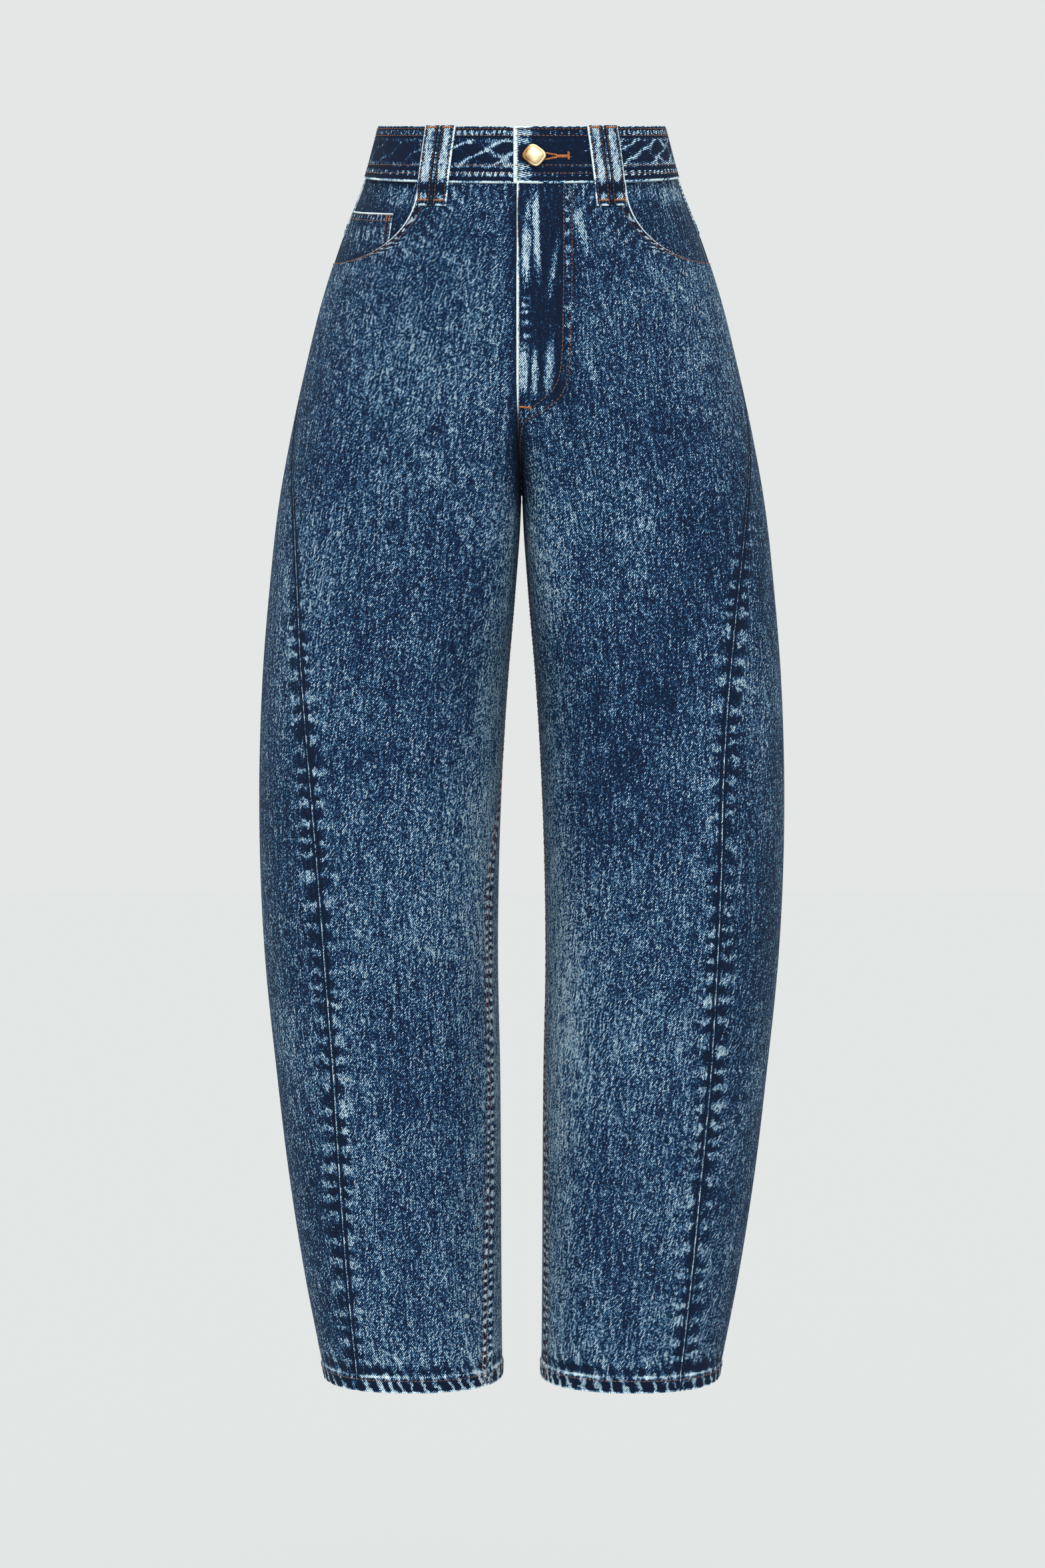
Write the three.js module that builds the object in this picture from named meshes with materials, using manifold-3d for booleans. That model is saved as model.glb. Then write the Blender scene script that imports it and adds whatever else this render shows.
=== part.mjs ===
// Barrel leg jeans in their worn shape with nobody in them, held up at the waist.
// Millimetres, +Z up, the front faces -Y and the wearer's left is +X.
// The origin is the middle of the waist opening.
// Every cloth piece is a wall on one surface: rings around the body and the legs, worked out
// from the sizes in SECTIONS. A piece is a stretch of those rings between its own seams.
import * as THREE from 'three';
import { mergeVertices } from 'three/addons/utils/BufferGeometryUtils.js';
import Module from 'manifold-3d';

// Cloth
const CLOTH = 1.6; // wall of one panel
const SEAM_GAP = 0.3; // between neighbouring pieces
const BAND_OUT = 1.1; // the doubled waistband stands this far proud of the panels
const BAND_IN = 1.5; // and reaches this far inside them

// Levels, measured down from the waist's edge at the side seams
const BAND_DEPTH = 42;
const GROOVE_TOP = -222; // the centre seams start to turn under here
const FORK = -315; // the legs part here
const HEM = -1025;
const HEM_FOLD = 11.5; // depth of the turned hem
const HEM_PROUD = 0.9;
const HEM_STEP = 0.8;
const BACK_RISE = 0.7; // the back of a ring rises this share of what its front falls

// Fly and front pockets
const FLY_SHIFT = -4; // the lapped front edge lies this far past the centre
const FLY_PROUD = 1.2;
const FLY_FADE = { across: 14, down: 40 };
const POCKET = { inner: 83, depth: 71, power: 1.8 }; // the scooped mouth, from the waistband down
const MOUTH_ROWS = 12;
const FACING = { under: 8, lower: 8, reach: 0.93, out: -CLOTH - 1.1 }; // hangs behind the front
const COIN = { inner: 104, top: -69, from: 0.35, clear: 1.2, in: FACING.out + SEAM_GAP, thick: 1.4 };

// Back yoke, a shallow V
const YOKE_SIDE = -88;
const YOKE_CENTRE = -118;

// Belt loops, strips that stand in pairs
const LOOP = { width: 11.2, pitch: 12.4, length: 62, thick: 1.7, bow: 0.9, foot: 8 };
const LOOP_PAIRS = table('name topX bottomX angle', [
  ['front_left', 63.4, 71.3, 0],
  ['front_right', -63.9, -71.8, 0],
  ['back', 0, 0, 180],
]);

// Waist button, its hole, and the two ends of the waistband
const BUTTON = {
  x: 9.6, level: -22, half: 7.8, corner: 3, turn: 40, lift: 1.8, thick: 1.6, dome: 1.1, shank: 2.2,
};
const BUTTONHOLE = { length: 26, slit: 1.2, eye: 2.8 };
const LAP_END = -6; // the lapping end, past the centre
const UNDERLAP = { end: 24, drop: 2.9, slope: 3 }; // the end beneath it steps inwards

// One row for each section. level: as above. outer, inner: from the centre plane to the leg's
// sides. front, back: depth each way. side: where the widest point lies, front to back.
// tilt: how much the ring rises towards the back. The last four are where the side seam and the
// inner seam lie on the left and right leg, as turns round the leg in degrees.
const SECTIONS = table('level outer inner front back side tilt outseamL outseamR inseamL inseamR', [
  [4, 116, 0, 88, 80, 0, 0.21, 180, 180, 0, 0],
  [-42, 128.5, 0, 97, 94, 2, 0.235, 180, 180, 0, 0],
  [-88, 146, 0, 105, 113, 4, 0.19, 180, 180, 0, 0],
  [-143, 164, 0, 111, 127, 6, 0.13, 180, 180, 0, 0],
  [-198, 177.5, 0, 113, 131, 7, 0.07, 174, 175, 0, 0],
  [-253, 189, 0, 111, 124, 6, 0.03, 161, 163, 0, 0],
  [FORK, 199.5, 0.6, 106, 109, 4, 0, 144.5, 147, 0, 0],
  [-380, 206.5, 5, 103, 100, 2, 0, 132.5, 137.5, 0, 0],
  [-450, 212, 11, 103, 99, 1, 0, 123, 130, 0, 0],
  [-528, 214.7, 15.7, 105, 100, 1, 0, 117, 123, 1, 4],
  [-610, 214, 18.6, 104, 101, 2, 0, 115.5, 118, 2, 20],
  [-690, 209.7, 19.3, 99, 99, 4, 0, 115.3, 116, 3, 22],
  [-775, 201, 17.6, 91, 94, 6, 0, 116.8, 116.4, 7, 23],
  [-858, 191.3, 17, 81, 89, 8, 0.01, 116.8, 118.4, 13, 25],
  [-940, 178.6, 16.6, 71, 84, 9, 0.03, 118.2, 121.6, 14.5, 29],
  [HEM, 162, 16, 61, 79, 10, 0.048, 121, 126, 15.5, 33],
]);
const LEG_ROUNDNESS = 2.3; // 2 is an ellipse, more is squarer
const THIGH = { flatness: 2.6, from: FORK, to: -480 }; // the thighs' insides lie flat together at the fork
const LEG_FORM = { from: -140, to: -330 }; // the body's ellipse turns into the leg's form between these

// The largest soft troughs in the cloth, on both sides: where the middle of each one lies, its half
// length round the leg in degrees, its half height, its depth and how far it falls outwards.
const FOLDS = table('level turn halfLength halfHeight depth fall', [
  [-272, 62, 44, 15, 2.4, -30],
  [-330, 285, 40, 16, 4.2, 34],
  [-372, 300, 38, 15, 3.4, 28],
  [-590, 272, 48, 17, 3.6, 12],
  [-636, 262, 42, 15, 3, -10],
]);

const DENIM = new THREE.MeshStandardMaterial({ color: 0x35587d, roughness: 0.92, metalness: 0 });
const DARK_DENIM = new THREE.MeshStandardMaterial({ color: 0x24405f, roughness: 0.92, metalness: 0 });
const PALE_DENIM = new THREE.MeshStandardMaterial({ color: 0x8fabc0, roughness: 0.92, metalness: 0 });
const BRASS = new THREE.MeshStandardMaterial({ color: 0xc9b07a, roughness: 0.35, metalness: 1 });

// Rows of values as objects with named columns.
function table(columns, rows) {
  const names = columns.split(' ');
  return rows.map((row) => Object.fromEntries(names.map((name, i) => [name, row[i]])));
}

function smoothstep(x, from, to) {
  const t = THREE.MathUtils.clamp((x - from) / (to - from), 0, 1);
  return t * t * (3 - 2 * t);
}

// A section at any level: a smooth curve through the table's rows, column by column.
function sectionAt(level) {
  const last = SECTIONS.length - 1;
  const below = SECTIONS.findIndex((row) => row.level <= level);
  const i = THREE.MathUtils.clamp(below < 0 ? last - 1 : below - 1, 0, last - 1);
  const [from, to] = [SECTIONS[i], SECTIONS[i + 1]];
  const span = to.level - from.level;
  const t = (level - from.level) / span;
  const slope = (name, k) => {
    const a = SECTIONS[Math.max(k - 1, 0)];
    const b = SECTIONS[Math.min(k + 1, last)];
    return (b[name] - a[name]) / (b.level - a.level);
  };
  const made = {};
  for (const name of Object.keys(from)) {
    made[name] =
      (2 * t ** 3 - 3 * t ** 2 + 1) * from[name] +
      (t ** 3 - 2 * t ** 2 + t) * span * slope(name, i) +
      (3 * t ** 2 - 2 * t ** 3) * to[name] +
      (t ** 3 - t ** 2) * span * slope(name, i + 1);
  }
  return made;
}

// What is left of the depth at the centre seams: all of it down to the groove's top, none at the fork.
function centreDepth(level) {
  const t = THREE.MathUtils.clamp((GROOVE_TOP - level) / (GROOVE_TOP - FORK), 0, 1);
  return 1 - t ** 2;
}

// Where a side's cloth starts: past the centre on the lapping left front, short of it on the right.
function innerEdge(side, level, isFront) {
  const shift = isFront ? side * FLY_SHIFT * (1 - smoothstep(level, GROOVE_TOP, FORK)) : 0;
  return sectionAt(level).inner + shift;
}

// The folds fade out towards the inner and outermost lines of the leg.
function foldDepth(level, turn) {
  const fade = Math.sin(THREE.MathUtils.degToRad(turn)) ** 2;
  return FOLDS.reduce((sum, fold) => {
    const along = (turn - fold.turn) / fold.halfLength;
    const across = (level - fold.level - fold.fall * along) / fold.halfHeight;
    return sum + fade * fold.depth * Math.exp(-(across ** 2) - along ** 2);
  }, 0);
}

// A superellipse's height at x, both as shares of its half sizes.
function roundForm(x, power) {
  return (1 - THREE.MathUtils.clamp(x, 0, 1) ** power) ** (1 / power);
}

function rise(section, y) {
  return section.tilt * (y < 0 ? y : y * BACK_RISE);
}

// A point of the garment's outer surface. turn, in degrees, runs round one side of the body or
// one leg: 0 at the centre front or inner leg, 90 in front, 180 outermost, 270 behind, 360 inner.
function surface(side, level, turn) {
  const s = sectionAt(level);
  const angle = THREE.MathUtils.degToRad(turn);
  const isFront = Math.sin(angle) >= 0;
  const inner = innerEdge(side, level, isFront);
  const half = (s.outer - inner) / 2;
  const middle = (s.outer + inner) / 2;
  const x = middle - half * Math.cos(angle);
  const depth = isFront ? s.front + s.side : s.back - s.side;

  const bodyForm = Math.sqrt(Math.max(0, 1 - (x / s.outer) ** 2));
  const legForm = roundForm((x - middle) / half, LEG_ROUNDNESS);
  const isLeg = smoothstep(level, LEG_FORM.from, LEG_FORM.to);
  const flatness = THIGH.flatness * (1 - smoothstep(level, THIGH.from, THIGH.to));
  const innerForm = roundForm(1 - (x - inner) / half, LEG_ROUNDNESS + flatness);
  const groove = Math.sqrt(innerForm ** 2 + centreDepth(level) ** 2 * (1 - innerForm ** 2));
  const form = ((1 - isLeg) * bodyForm + isLeg * legForm) * groove;

  const y = s.side + (isFront ? -1 : 1) * depth * form;
  const point = new THREE.Vector3(side * (x + SEAM_GAP / 2), y, level + rise(s, y));
  const towardsAxis = new THREE.Vector3(side * middle, s.side, point.z).sub(point).normalize();
  return point.addScaledVector(towardsAxis, foldDepth(level, turn));
}

// The turn at which the front surface lies x out from the centre plane.
function turnAt(side, level, x) {
  const inner = innerEdge(side, level, true);
  const outer = sectionAt(level).outer;
  const share = THREE.MathUtils.clamp((outer + inner - 2 * x) / (outer - inner), -1, 1);
  return THREE.MathUtils.radToDeg(Math.acos(share));
}

// A spot on one side of the garment: the point and the way out of the cloth there.
function onSide(side, level, turn) {
  const step = 1.5;
  const isClosed = level <= FORK;
  const isBack = turn > 180;
  const low = isClosed ? turn - step : Math.max(turn - step, isBack ? 180 : 0);
  const high = isClosed ? turn + step : Math.min(turn + step, isBack ? 360 : 180);
  const round = surface(side, level, high).sub(surface(side, level, low));
  const up = surface(side, level + step, turn).sub(surface(side, level - step, turn));
  const normal = round.cross(up).multiplyScalar(side).normalize();
  return { point: surface(side, level, turn), normal };
}

// A spot on the body's rings, all the way round: angle runs from the centre front, 0, past the
// wearer's left, 90, to the centre back, 180, and the other way round when it is negative.
function onBody(level, angle) {
  const ring = (at, around) => {
    const s = sectionAt(at);
    const a = THREE.MathUtils.degToRad(around);
    const depth = Math.cos(a) > 0 ? s.front + s.side : s.back - s.side;
    const y = s.side - depth * Math.cos(a);
    return new THREE.Vector3(s.outer * Math.sin(a), y, at + rise(s, y));
  };
  const step = 1;
  const round = ring(level, angle + step).sub(ring(level, angle - step));
  const up = ring(level + step, angle).sub(ring(level - step, angle));
  return { point: ring(level, angle), normal: round.cross(up).normalize() };
}

// The angle of a ring, near the front (0) or the back (180), at x from the centre plane.
function angleAt(level, x, nearest = 0) {
  const angle = THREE.MathUtils.radToDeg(Math.asin(x / sectionAt(level).outer));
  return nearest === 180 ? 180 - angle : angle;
}

// A geometry from points and triangles, turned round if it came out inside out.
function facingOut(points, faces) {
  let volume = 0;
  for (let i = 0; i < faces.length; i += 3) {
    const [a, b, c] = [points[faces[i]], points[faces[i + 1]], points[faces[i + 2]]];
    volume += a.dot(new THREE.Vector3().crossVectors(b, c));
  }
  const turned = volume < 0 ? faces.slice().reverse() : faces;
  return new THREE.BufferGeometry().setFromPoints(points).setIndex(turned);
}

// A closed wall over a grid. spotAt(s, t, row) gives each corner's spot on the surface and how
// far out of it the wall's two faces lie. s runs across the piece and t down it, 0 to 1.
function wall(columns, rows, spotAt) {
  const points = [];
  const faces = [];
  for (const face of ['out', 'in']) {
    for (let r = 0; r <= rows; r++) {
      for (let c = 0; c <= columns; c++) {
        const spot = spotAt(c / columns, r / rows, r);
        points.push(spot.point.clone().addScaledVector(spot.normal, spot[face]));
      }
    }
  }
  const perLayer = (columns + 1) * (rows + 1);
  const out = (r, c) => r * (columns + 1) + c;
  const inn = (r, c) => perLayer + out(r, c);
  const quad = (a, b, c, d) => faces.push(a, b, c, a, c, d);
  for (let r = 0; r < rows; r++) {
    for (let c = 0; c < columns; c++) {
      quad(out(r, c), out(r, c + 1), out(r + 1, c + 1), out(r + 1, c));
      quad(inn(r, c), inn(r + 1, c), inn(r + 1, c + 1), inn(r, c + 1));
    }
    quad(out(r, 0), out(r + 1, 0), inn(r + 1, 0), inn(r, 0));
    quad(out(r + 1, columns), out(r, columns), inn(r, columns), inn(r + 1, columns));
  }
  for (let c = 0; c < columns; c++) {
    quad(out(0, c + 1), out(0, c), inn(0, c), inn(0, c + 1));
    quad(out(rows, c), out(rows, c + 1), inn(rows, c + 1), inn(rows, c));
  }
  return facingOut(points, faces);
}

// Levels from one to another, without the first. Bunched ones lie closer towards the far end.
function levels(from, to, count, isBunched = false) {
  return Array.from({ length: count }, (_, i) => {
    const t = (i + 1) / count;
    return from + (to - from) * (isBunched ? Math.sin((t * Math.PI) / 2) : t);
  });
}

// The scooped pocket mouth is a superellipse's quarter. along runs from the waistband, 0, to the
// side seam, 1, in even steps of the edge's length.
function mouthPoint(side, along, inner, depth) {
  const angle = (Math.PI / 2) * (1 - (1 - along) ** POCKET.power);
  const level = PANEL_TOP - (depth + PANEL_TOP + BAND_DEPTH) * Math.sin(angle) ** (2 / POCKET.power);
  const outer = sectionAt(level).outer;
  const x = outer - (outer - inner) * Math.max(0, Math.cos(angle)) ** (2 / POCKET.power);
  return { level, turn: Math.min(turnAt(side, level, x), 180 - gapTurn(level)) };
}

function outseamTurn(side, level) {
  return Math.min(180, sectionAt(level)[side > 0 ? 'outseamL' : 'outseamR']);
}

function inseamTurn(side, level) {
  return level < FORK ? Math.max(0, sectionAt(level)[side > 0 ? 'inseamL' : 'inseamR']) : 0;
}

// Half the seam gap, as a turn.
function gapTurn(level) {
  const s = sectionAt(level);
  return THREE.MathUtils.radToDeg(SEAM_GAP / (s.outer - s.inner));
}

const PANEL_TOP = -BAND_DEPTH - SEAM_GAP;
const POCKET_END = -BAND_DEPTH - POCKET.depth;
const YOKE_BOTTOM = YOKE_SIDE - SEAM_GAP;
const LOWER_LEVELS = [
  ...levels(POCKET_END, GROOVE_TOP, 5),
  ...levels(GROOVE_TOP, FORK, 8, true),
  ...levels(FORK, HEM + HEM_FOLD, 17),
  HEM + HEM_FOLD - HEM_STEP,
  HEM,
];
const FRONT_LEVELS = [PANEL_TOP, ...levels(PANEL_TOP, POCKET_END, MOUTH_ROWS), ...LOWER_LEVELS];
const BACK_LEVELS = [YOKE_BOTTOM, POCKET_END, ...LOWER_LEVELS];

// The turned hem is doubled, so its outer face steps out.
function hemLift(level) {
  return level < HEM + HEM_FOLD - HEM_STEP / 2 ? HEM_PROUD : 0;
}

// The lapped fly edge stands a little proud of the front beneath it.
function flyLift(side, level, turn) {
  const x = surface(side, level, turn).x;
  const across = 1 - smoothstep(x - FLY_SHIFT, 0, FLY_FADE.across);
  const down = 1 - smoothstep(level, GROOVE_TOP + FLY_FADE.down, GROOVE_TOP);
  return side > 0 ? FLY_PROUD * across * down : 0;
}

// The front of one leg and its half of the body, cut away at the pocket mouth.
function frontPanel(side) {
  return wall(13, FRONT_LEVELS.length - 1, (s, t, row) => {
    const inner = FRONT_LEVELS[row];
    const gap = gapTurn(inner);
    const seam = { level: inner, turn: outseamTurn(side, inner) - gap };
    const end = row < MOUTH_ROWS ? mouthPoint(side, row / MOUTH_ROWS, POCKET.inner, POCKET.depth) : seam;
    const start = inner <= FORK ? inseamTurn(side, inner) + gap : 0;
    const turn = start + (end.turn - start) * s;
    const level = inner + (end.level - inner) * s;
    const lift = flyLift(side, level, turn);
    return { ...onSide(side, level, turn), out: lift + hemLift(level), in: lift - CLOTH };
  });
}

// The yoke seam's level at a turn, falling from the side seam to the centre back.
function yokeLevel(turn) {
  return YOKE_SIDE + (YOKE_CENTRE - YOKE_SIDE) * ((turn - 180) / 180);
}

// The back of one leg and its half of the seat, below the yoke. It wraps forward to the outseam.
function backPanel(side) {
  return wall(18, BACK_LEVELS.length - 1, (s, t, row) => {
    const plain = BACK_LEVELS[row];
    const gap = gapTurn(plain);
    const start = outseamTurn(side, plain) + gap;
    const end = plain <= FORK ? 360 + inseamTurn(side, plain) - gap : 360;
    const turn = start + (end - start) * s;
    const followed = 1 - smoothstep(plain, YOKE_BOTTOM, GROOVE_TOP);
    const level = plain + (yokeLevel(Math.max(turn, 180)) - YOKE_SIDE) * followed;
    return { ...onSide(side, level, turn), out: hemLift(level), in: -CLOTH };
  });
}

function yoke(side) {
  return wall(18, 3, (s, t) => {
    const start = 180 + gapTurn(PANEL_TOP);
    const turn = start + (360 - start) * s;
    const level = PANEL_TOP + (yokeLevel(turn) - PANEL_TOP) * t;
    return { ...onSide(side, level, turn), out: 0, in: -CLOTH };
  });
}

// The denim that shows through the pocket mouth, one layer behind the front.
function pocketFacing(side) {
  const depth = POCKET.depth + FACING.lower;
  return wall(6, 9, (s, t) => {
    const start = mouthPoint(side, t * FACING.reach, POCKET.inner - FACING.under, depth);
    const end = PANEL_TOP + (start.level - PANEL_TOP) * t;
    const level = start.level + (end - start.level) * s;
    const turn = start.turn + (180 - gapTurn(level) - start.turn) * s;
    return { ...onSide(side, level, turn), out: FACING.out, in: FACING.out - CLOTH };
  });
}

// The coin pocket on the right facing. Its lower edge follows the pocket mouth.
function coinPocket() {
  const side = -1;
  const first = turnAt(side, COIN.top, COIN.inner);
  const last = 180 - 2 * gapTurn(COIN.top);
  return wall(7, 4, (s, t) => {
    const along = COIN.from + (1 - COIN.from) * s;
    const foot = mouthPoint(side, along, POCKET.inner + COIN.clear, POCKET.depth - COIN.clear);
    const turn = first + (last - first) * s;
    const level = COIN.top + (foot.level - COIN.top) * t;
    const spot = onSide(side, level, turn + (Math.min(foot.turn, last) - turn) * t);
    return { ...spot, out: COIN.in + COIN.thick, in: COIN.in };
  });
}

// Half of the waistband, from the centre back round to its front end. stops are the x of its last
// columns, and beyond the first of them the cloth lies drop further in.
function bandHalf(side, stops, drop) {
  const even = 22;
  return wall(even + stops.length - 1, 3, (s, t) => {
    const column = Math.round(s * (even + stops.length - 1));
    const level = -BAND_DEPTH * t;
    const start = side * (180 - THREE.MathUtils.radToDeg(SEAM_GAP / 2 / sectionAt(level).outer));
    const isEven = column <= even;
    const end = angleAt(level, stops[Math.max(0, column - even)]);
    const spot = onBody(level, isEven ? start + ((end - start) * column) / even : end);
    const lift = isEven ? 0 : -drop;
    return { ...spot, out: BAND_OUT + lift, in: lift - BAND_IN };
  });
}

// One strip of a pair of belt loops, its foot sewn down to the panel below the band.
function beltLoop(pair, offset) {
  return wall(2, 8, (s, t) => {
    const level = -LOOP.length * t;
    const x = pair.topX + (pair.bottomX - pair.topX) * t + offset + LOOP.width * (s - 0.5);
    const overPanel = smoothstep(level, -BAND_DEPTH, -LOOP.length + LOOP.foot);
    const lift = SEAM_GAP + BAND_OUT * (1 - overPanel) + LOOP.bow * Math.sin(Math.PI * t);
    return { ...onBody(level, angleAt(level, x, pair.angle)), out: lift + LOOP.thick, in: lift };
  });
}

const wasm = await Module();
wasm.setup();

// three.js geometry as a manifold-3d solid, and back.
function asSolid(geometry) {
  const bare = geometry.clone().deleteAttribute('normal').deleteAttribute('uv');
  const merged = mergeVertices(bare);
  const vertProperties = new Float32Array(merged.attributes.position.array);
  const triVerts = new Uint32Array(merged.index.array);
  return new wasm.Manifold(new wasm.Mesh({ numProp: 3, vertProperties, triVerts }));
}

function asGeometry(solid) {
  const mesh = solid.getMesh();
  const geometry = new THREE.BufferGeometry();
  geometry.setAttribute('position', new THREE.BufferAttribute(mesh.vertProperties, 3));
  geometry.setIndex(new THREE.BufferAttribute(mesh.triVerts, 1));
  return geometry;
}

// The button's own frame: its middle on the band's surface, Z straight out and X to the left side.
function buttonFrame() {
  const { point, normal } = onBody(BUTTON.level, angleAt(BUTTON.level, BUTTON.x));
  const across = new THREE.Vector3(0, 0, 1).cross(normal).normalize();
  const up = normal.clone().cross(across);
  return new THREE.Matrix4().makeBasis(across, up, normal).setPosition(point);
}

// A keyhole: a round eye about the shank, and a slit that runs back along the band.
function buttonholeCut() {
  const { length, slit, eye } = BUTTONHOLE;
  const cut = 8;
  const where = Math.asin(slit / 2 / eye);
  const shape = new THREE.Shape();
  shape.absarc(0, 0, eye, where, 2 * Math.PI - where, false);
  shape.lineTo(length, -slit / 2);
  shape.lineTo(length, slit / 2);
  shape.closePath();
  const geometry = new THREE.ExtrudeGeometry(shape, { depth: cut, bevelEnabled: false, curveSegments: 12 });
  return geometry.translate(0, 0, -cut / 2).applyMatrix4(buttonFrame());
}

// A domed rounded square on a round shank, which stands on the underlap.
function button() {
  const { half, corner, turn, lift, thick, dome, shank } = BUTTON;
  const flat = half - corner;
  const outline = new THREE.Shape();
  [0, 1, 2, 3].forEach((k) => {
    const middle = new THREE.Vector2(flat, flat).rotateAround(new THREE.Vector2(), (k * Math.PI) / 2);
    outline.absarc(middle.x, middle.y, corner - dome, (k * Math.PI) / 2, ((k + 1) * Math.PI) / 2, false);
  });
  const head = new THREE.ExtrudeGeometry(outline, {
    depth: thick,
    bevelSize: dome,
    bevelThickness: dome,
    bevelSegments: 3,
    curveSegments: 5,
  });
  head.rotateZ(THREE.MathUtils.degToRad(turn)).translate(0, 0, lift + dome);
  const foot = -BAND_IN;
  const top = lift + dome + thick / 2;
  const stem = new THREE.CylinderGeometry(shank, shank, top - foot, 16).rotateX(Math.PI / 2);
  stem.translate(0, 0, (top + foot) / 2);
  return asGeometry(asSolid(head).add(asSolid(stem))).applyMatrix4(buttonFrame());
}

const jeans = new THREE.Group();

function add(name, geometry, material) {
  const mesh = new THREE.Mesh(geometry, material);
  mesh.name = name;
  jeans.add(mesh);
}

for (const [side, name] of [[1, 'left'], [-1, 'right']]) {
  add(`front_${name}`, frontPanel(side), DENIM);
  add(`back_${name}`, backPanel(side), DENIM);
  add(`yoke_${name}`, yoke(side), DENIM);
  add(`pocket_facing_${name}`, pocketFacing(side), DARK_DENIM);
}
add('coin_pocket', coinPocket(), DARK_DENIM);

const bandLeft = bandHalf(1, [LAP_END], 0);
const stepEnd = LAP_END - SEAM_GAP;
const underlapStops = [stepEnd - UNDERLAP.slope, stepEnd, UNDERLAP.end / 3, UNDERLAP.end];
const bandRight = bandHalf(-1, underlapStops, UNDERLAP.drop);
add('waistband_left', asGeometry(asSolid(bandLeft).subtract(asSolid(buttonholeCut()))), DENIM);
add('waistband_right', bandRight, DENIM);
add('button', button(), BRASS);

for (const pair of LOOP_PAIRS) {
  for (const [k, name] of [[-1, 'a'], [1, 'b']]) {
    add(`belt_loop_${pair.name}_${name}`, beltLoop(pair, (k * LOOP.pitch) / 2), PALE_DENIM);
  }
}

export default jeans;
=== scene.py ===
# %% [markdown]
# # Barrel leg jeans in washed denim
# This lesson dresses a plain CAD model of a pair of jeans. The CAD model gives the places and sizes,
# and every cloth piece is made again here as a finer surface on the same form.

import bpy
import numpy as np
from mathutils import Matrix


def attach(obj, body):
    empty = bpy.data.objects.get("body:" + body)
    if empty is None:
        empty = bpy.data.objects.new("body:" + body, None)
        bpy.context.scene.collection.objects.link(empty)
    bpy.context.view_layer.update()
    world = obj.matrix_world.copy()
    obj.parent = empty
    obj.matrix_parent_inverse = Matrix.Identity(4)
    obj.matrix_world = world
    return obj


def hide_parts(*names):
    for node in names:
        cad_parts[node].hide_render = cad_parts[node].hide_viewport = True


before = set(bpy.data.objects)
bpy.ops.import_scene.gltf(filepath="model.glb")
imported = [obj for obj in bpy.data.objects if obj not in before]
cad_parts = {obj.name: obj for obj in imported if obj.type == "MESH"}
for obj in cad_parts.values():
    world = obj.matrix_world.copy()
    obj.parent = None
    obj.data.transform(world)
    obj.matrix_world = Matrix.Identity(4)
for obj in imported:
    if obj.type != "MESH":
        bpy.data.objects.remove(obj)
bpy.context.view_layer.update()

# %% [markdown]
# ## Camera
# The jeans were seen from straight in front, with a long lens, so the camera looks level along +Y.
# Blender's sensor width belongs to the picture's long side. The picture is 1287.5 mm tall where the
# side seams are, so the lens follows from the distance: 36 mm times 2.6 m over 1.2875 m.

# %% Camera
CAMERA_AWAY = 2.6
PICTURE_TALL = 1.2875
SENSOR = 36.0

camera = bpy.data.objects.new("camera", bpy.data.cameras.new("camera"))
camera.data.sensor_width = SENSOR
camera.data.lens = SENSOR * CAMERA_AWAY / PICTURE_TALL
camera.location = (0.0006, -CAMERA_AWAY, -0.54)
camera.rotation_euler = (np.pi / 2, 0, 0)
bpy.context.scene.collection.objects.link(camera)
bpy.context.scene.camera = camera
print("lens:", round(camera.data.lens, 2), "mm")


# %% [markdown]
# ## Colours and nodes
# Colours are written as they look on a screen, in hex, and Blender wants linear light, so one
# function turns them. Another adds a node, sets it up and joins its inputs in one line. A washed or
# worn surface is a number from new to worn at each place, and a ramp gives that number its colours.

# %% Helpers for materials
def linear(hex_colour):
    """sRGB hex to linear RGBA: each channel c becomes c/12.92 or ((c+0.055)/1.055) to the power 2.4."""
    c = np.array([int(hex_colour[i:i + 2], 16) / 255 for i in (1, 3, 5)])
    c = np.where(c <= 0.04045, c / 12.92, ((c + 0.055) / 1.055) ** 2.4)
    return (*c.tolist(), 1.0)


def set_inputs(tree, node, inputs):
    """Sets a node's inputs. Each is either a value or another node's output."""
    for socket, value in inputs.items():
        if isinstance(value, bpy.types.NodeSocket):
            tree.links.new(value, node.inputs[socket])
        else:
            node.inputs[socket].default_value = value


def add_node(tree, kind, inputs=None, **settings):
    """Adds a node with its settings and its inputs."""
    made = tree.nodes.new(kind)
    for name, value in settings.items():
        setattr(made, name, value)
    set_inputs(tree, made, inputs or {})
    return made


def spread(value, low, high, to_low=0.0, to_high=1.0, curve="SMOOTHSTEP"):
    """A node's output stretched from one range onto another, in its own tree."""
    inputs = {0: value, 1: low, 2: high, 3: to_low, 4: to_high}
    return add_node(value.id_data, "ShaderNodeMapRange", inputs, interpolation_type=curve).outputs[0]


def coloured(tree, amount, stops):
    """The colour that a ramp gives an amount: stops are (place on the ramp, hex colour)."""
    ramp = add_node(tree, "ShaderNodeValToRGB", {"Fac": amount})
    elements = ramp.color_ramp.elements
    elements[0].position = stops[0][0]
    elements[1].position = stops[-1][0]
    for position, _ in stops[1:-1]:
        elements.new(position)
    for element, (_, colour) in zip(elements, stops):
        element.color = linear(colour)
    return ramp.outputs["Color"]


def new_material(name):
    """An empty material with its shader: the material, its node tree and the shader."""
    material = bpy.data.materials.new(name)
    material.use_nodes = True
    tree = material.node_tree
    return material, tree, tree.nodes["Principled BSDF"]


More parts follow.
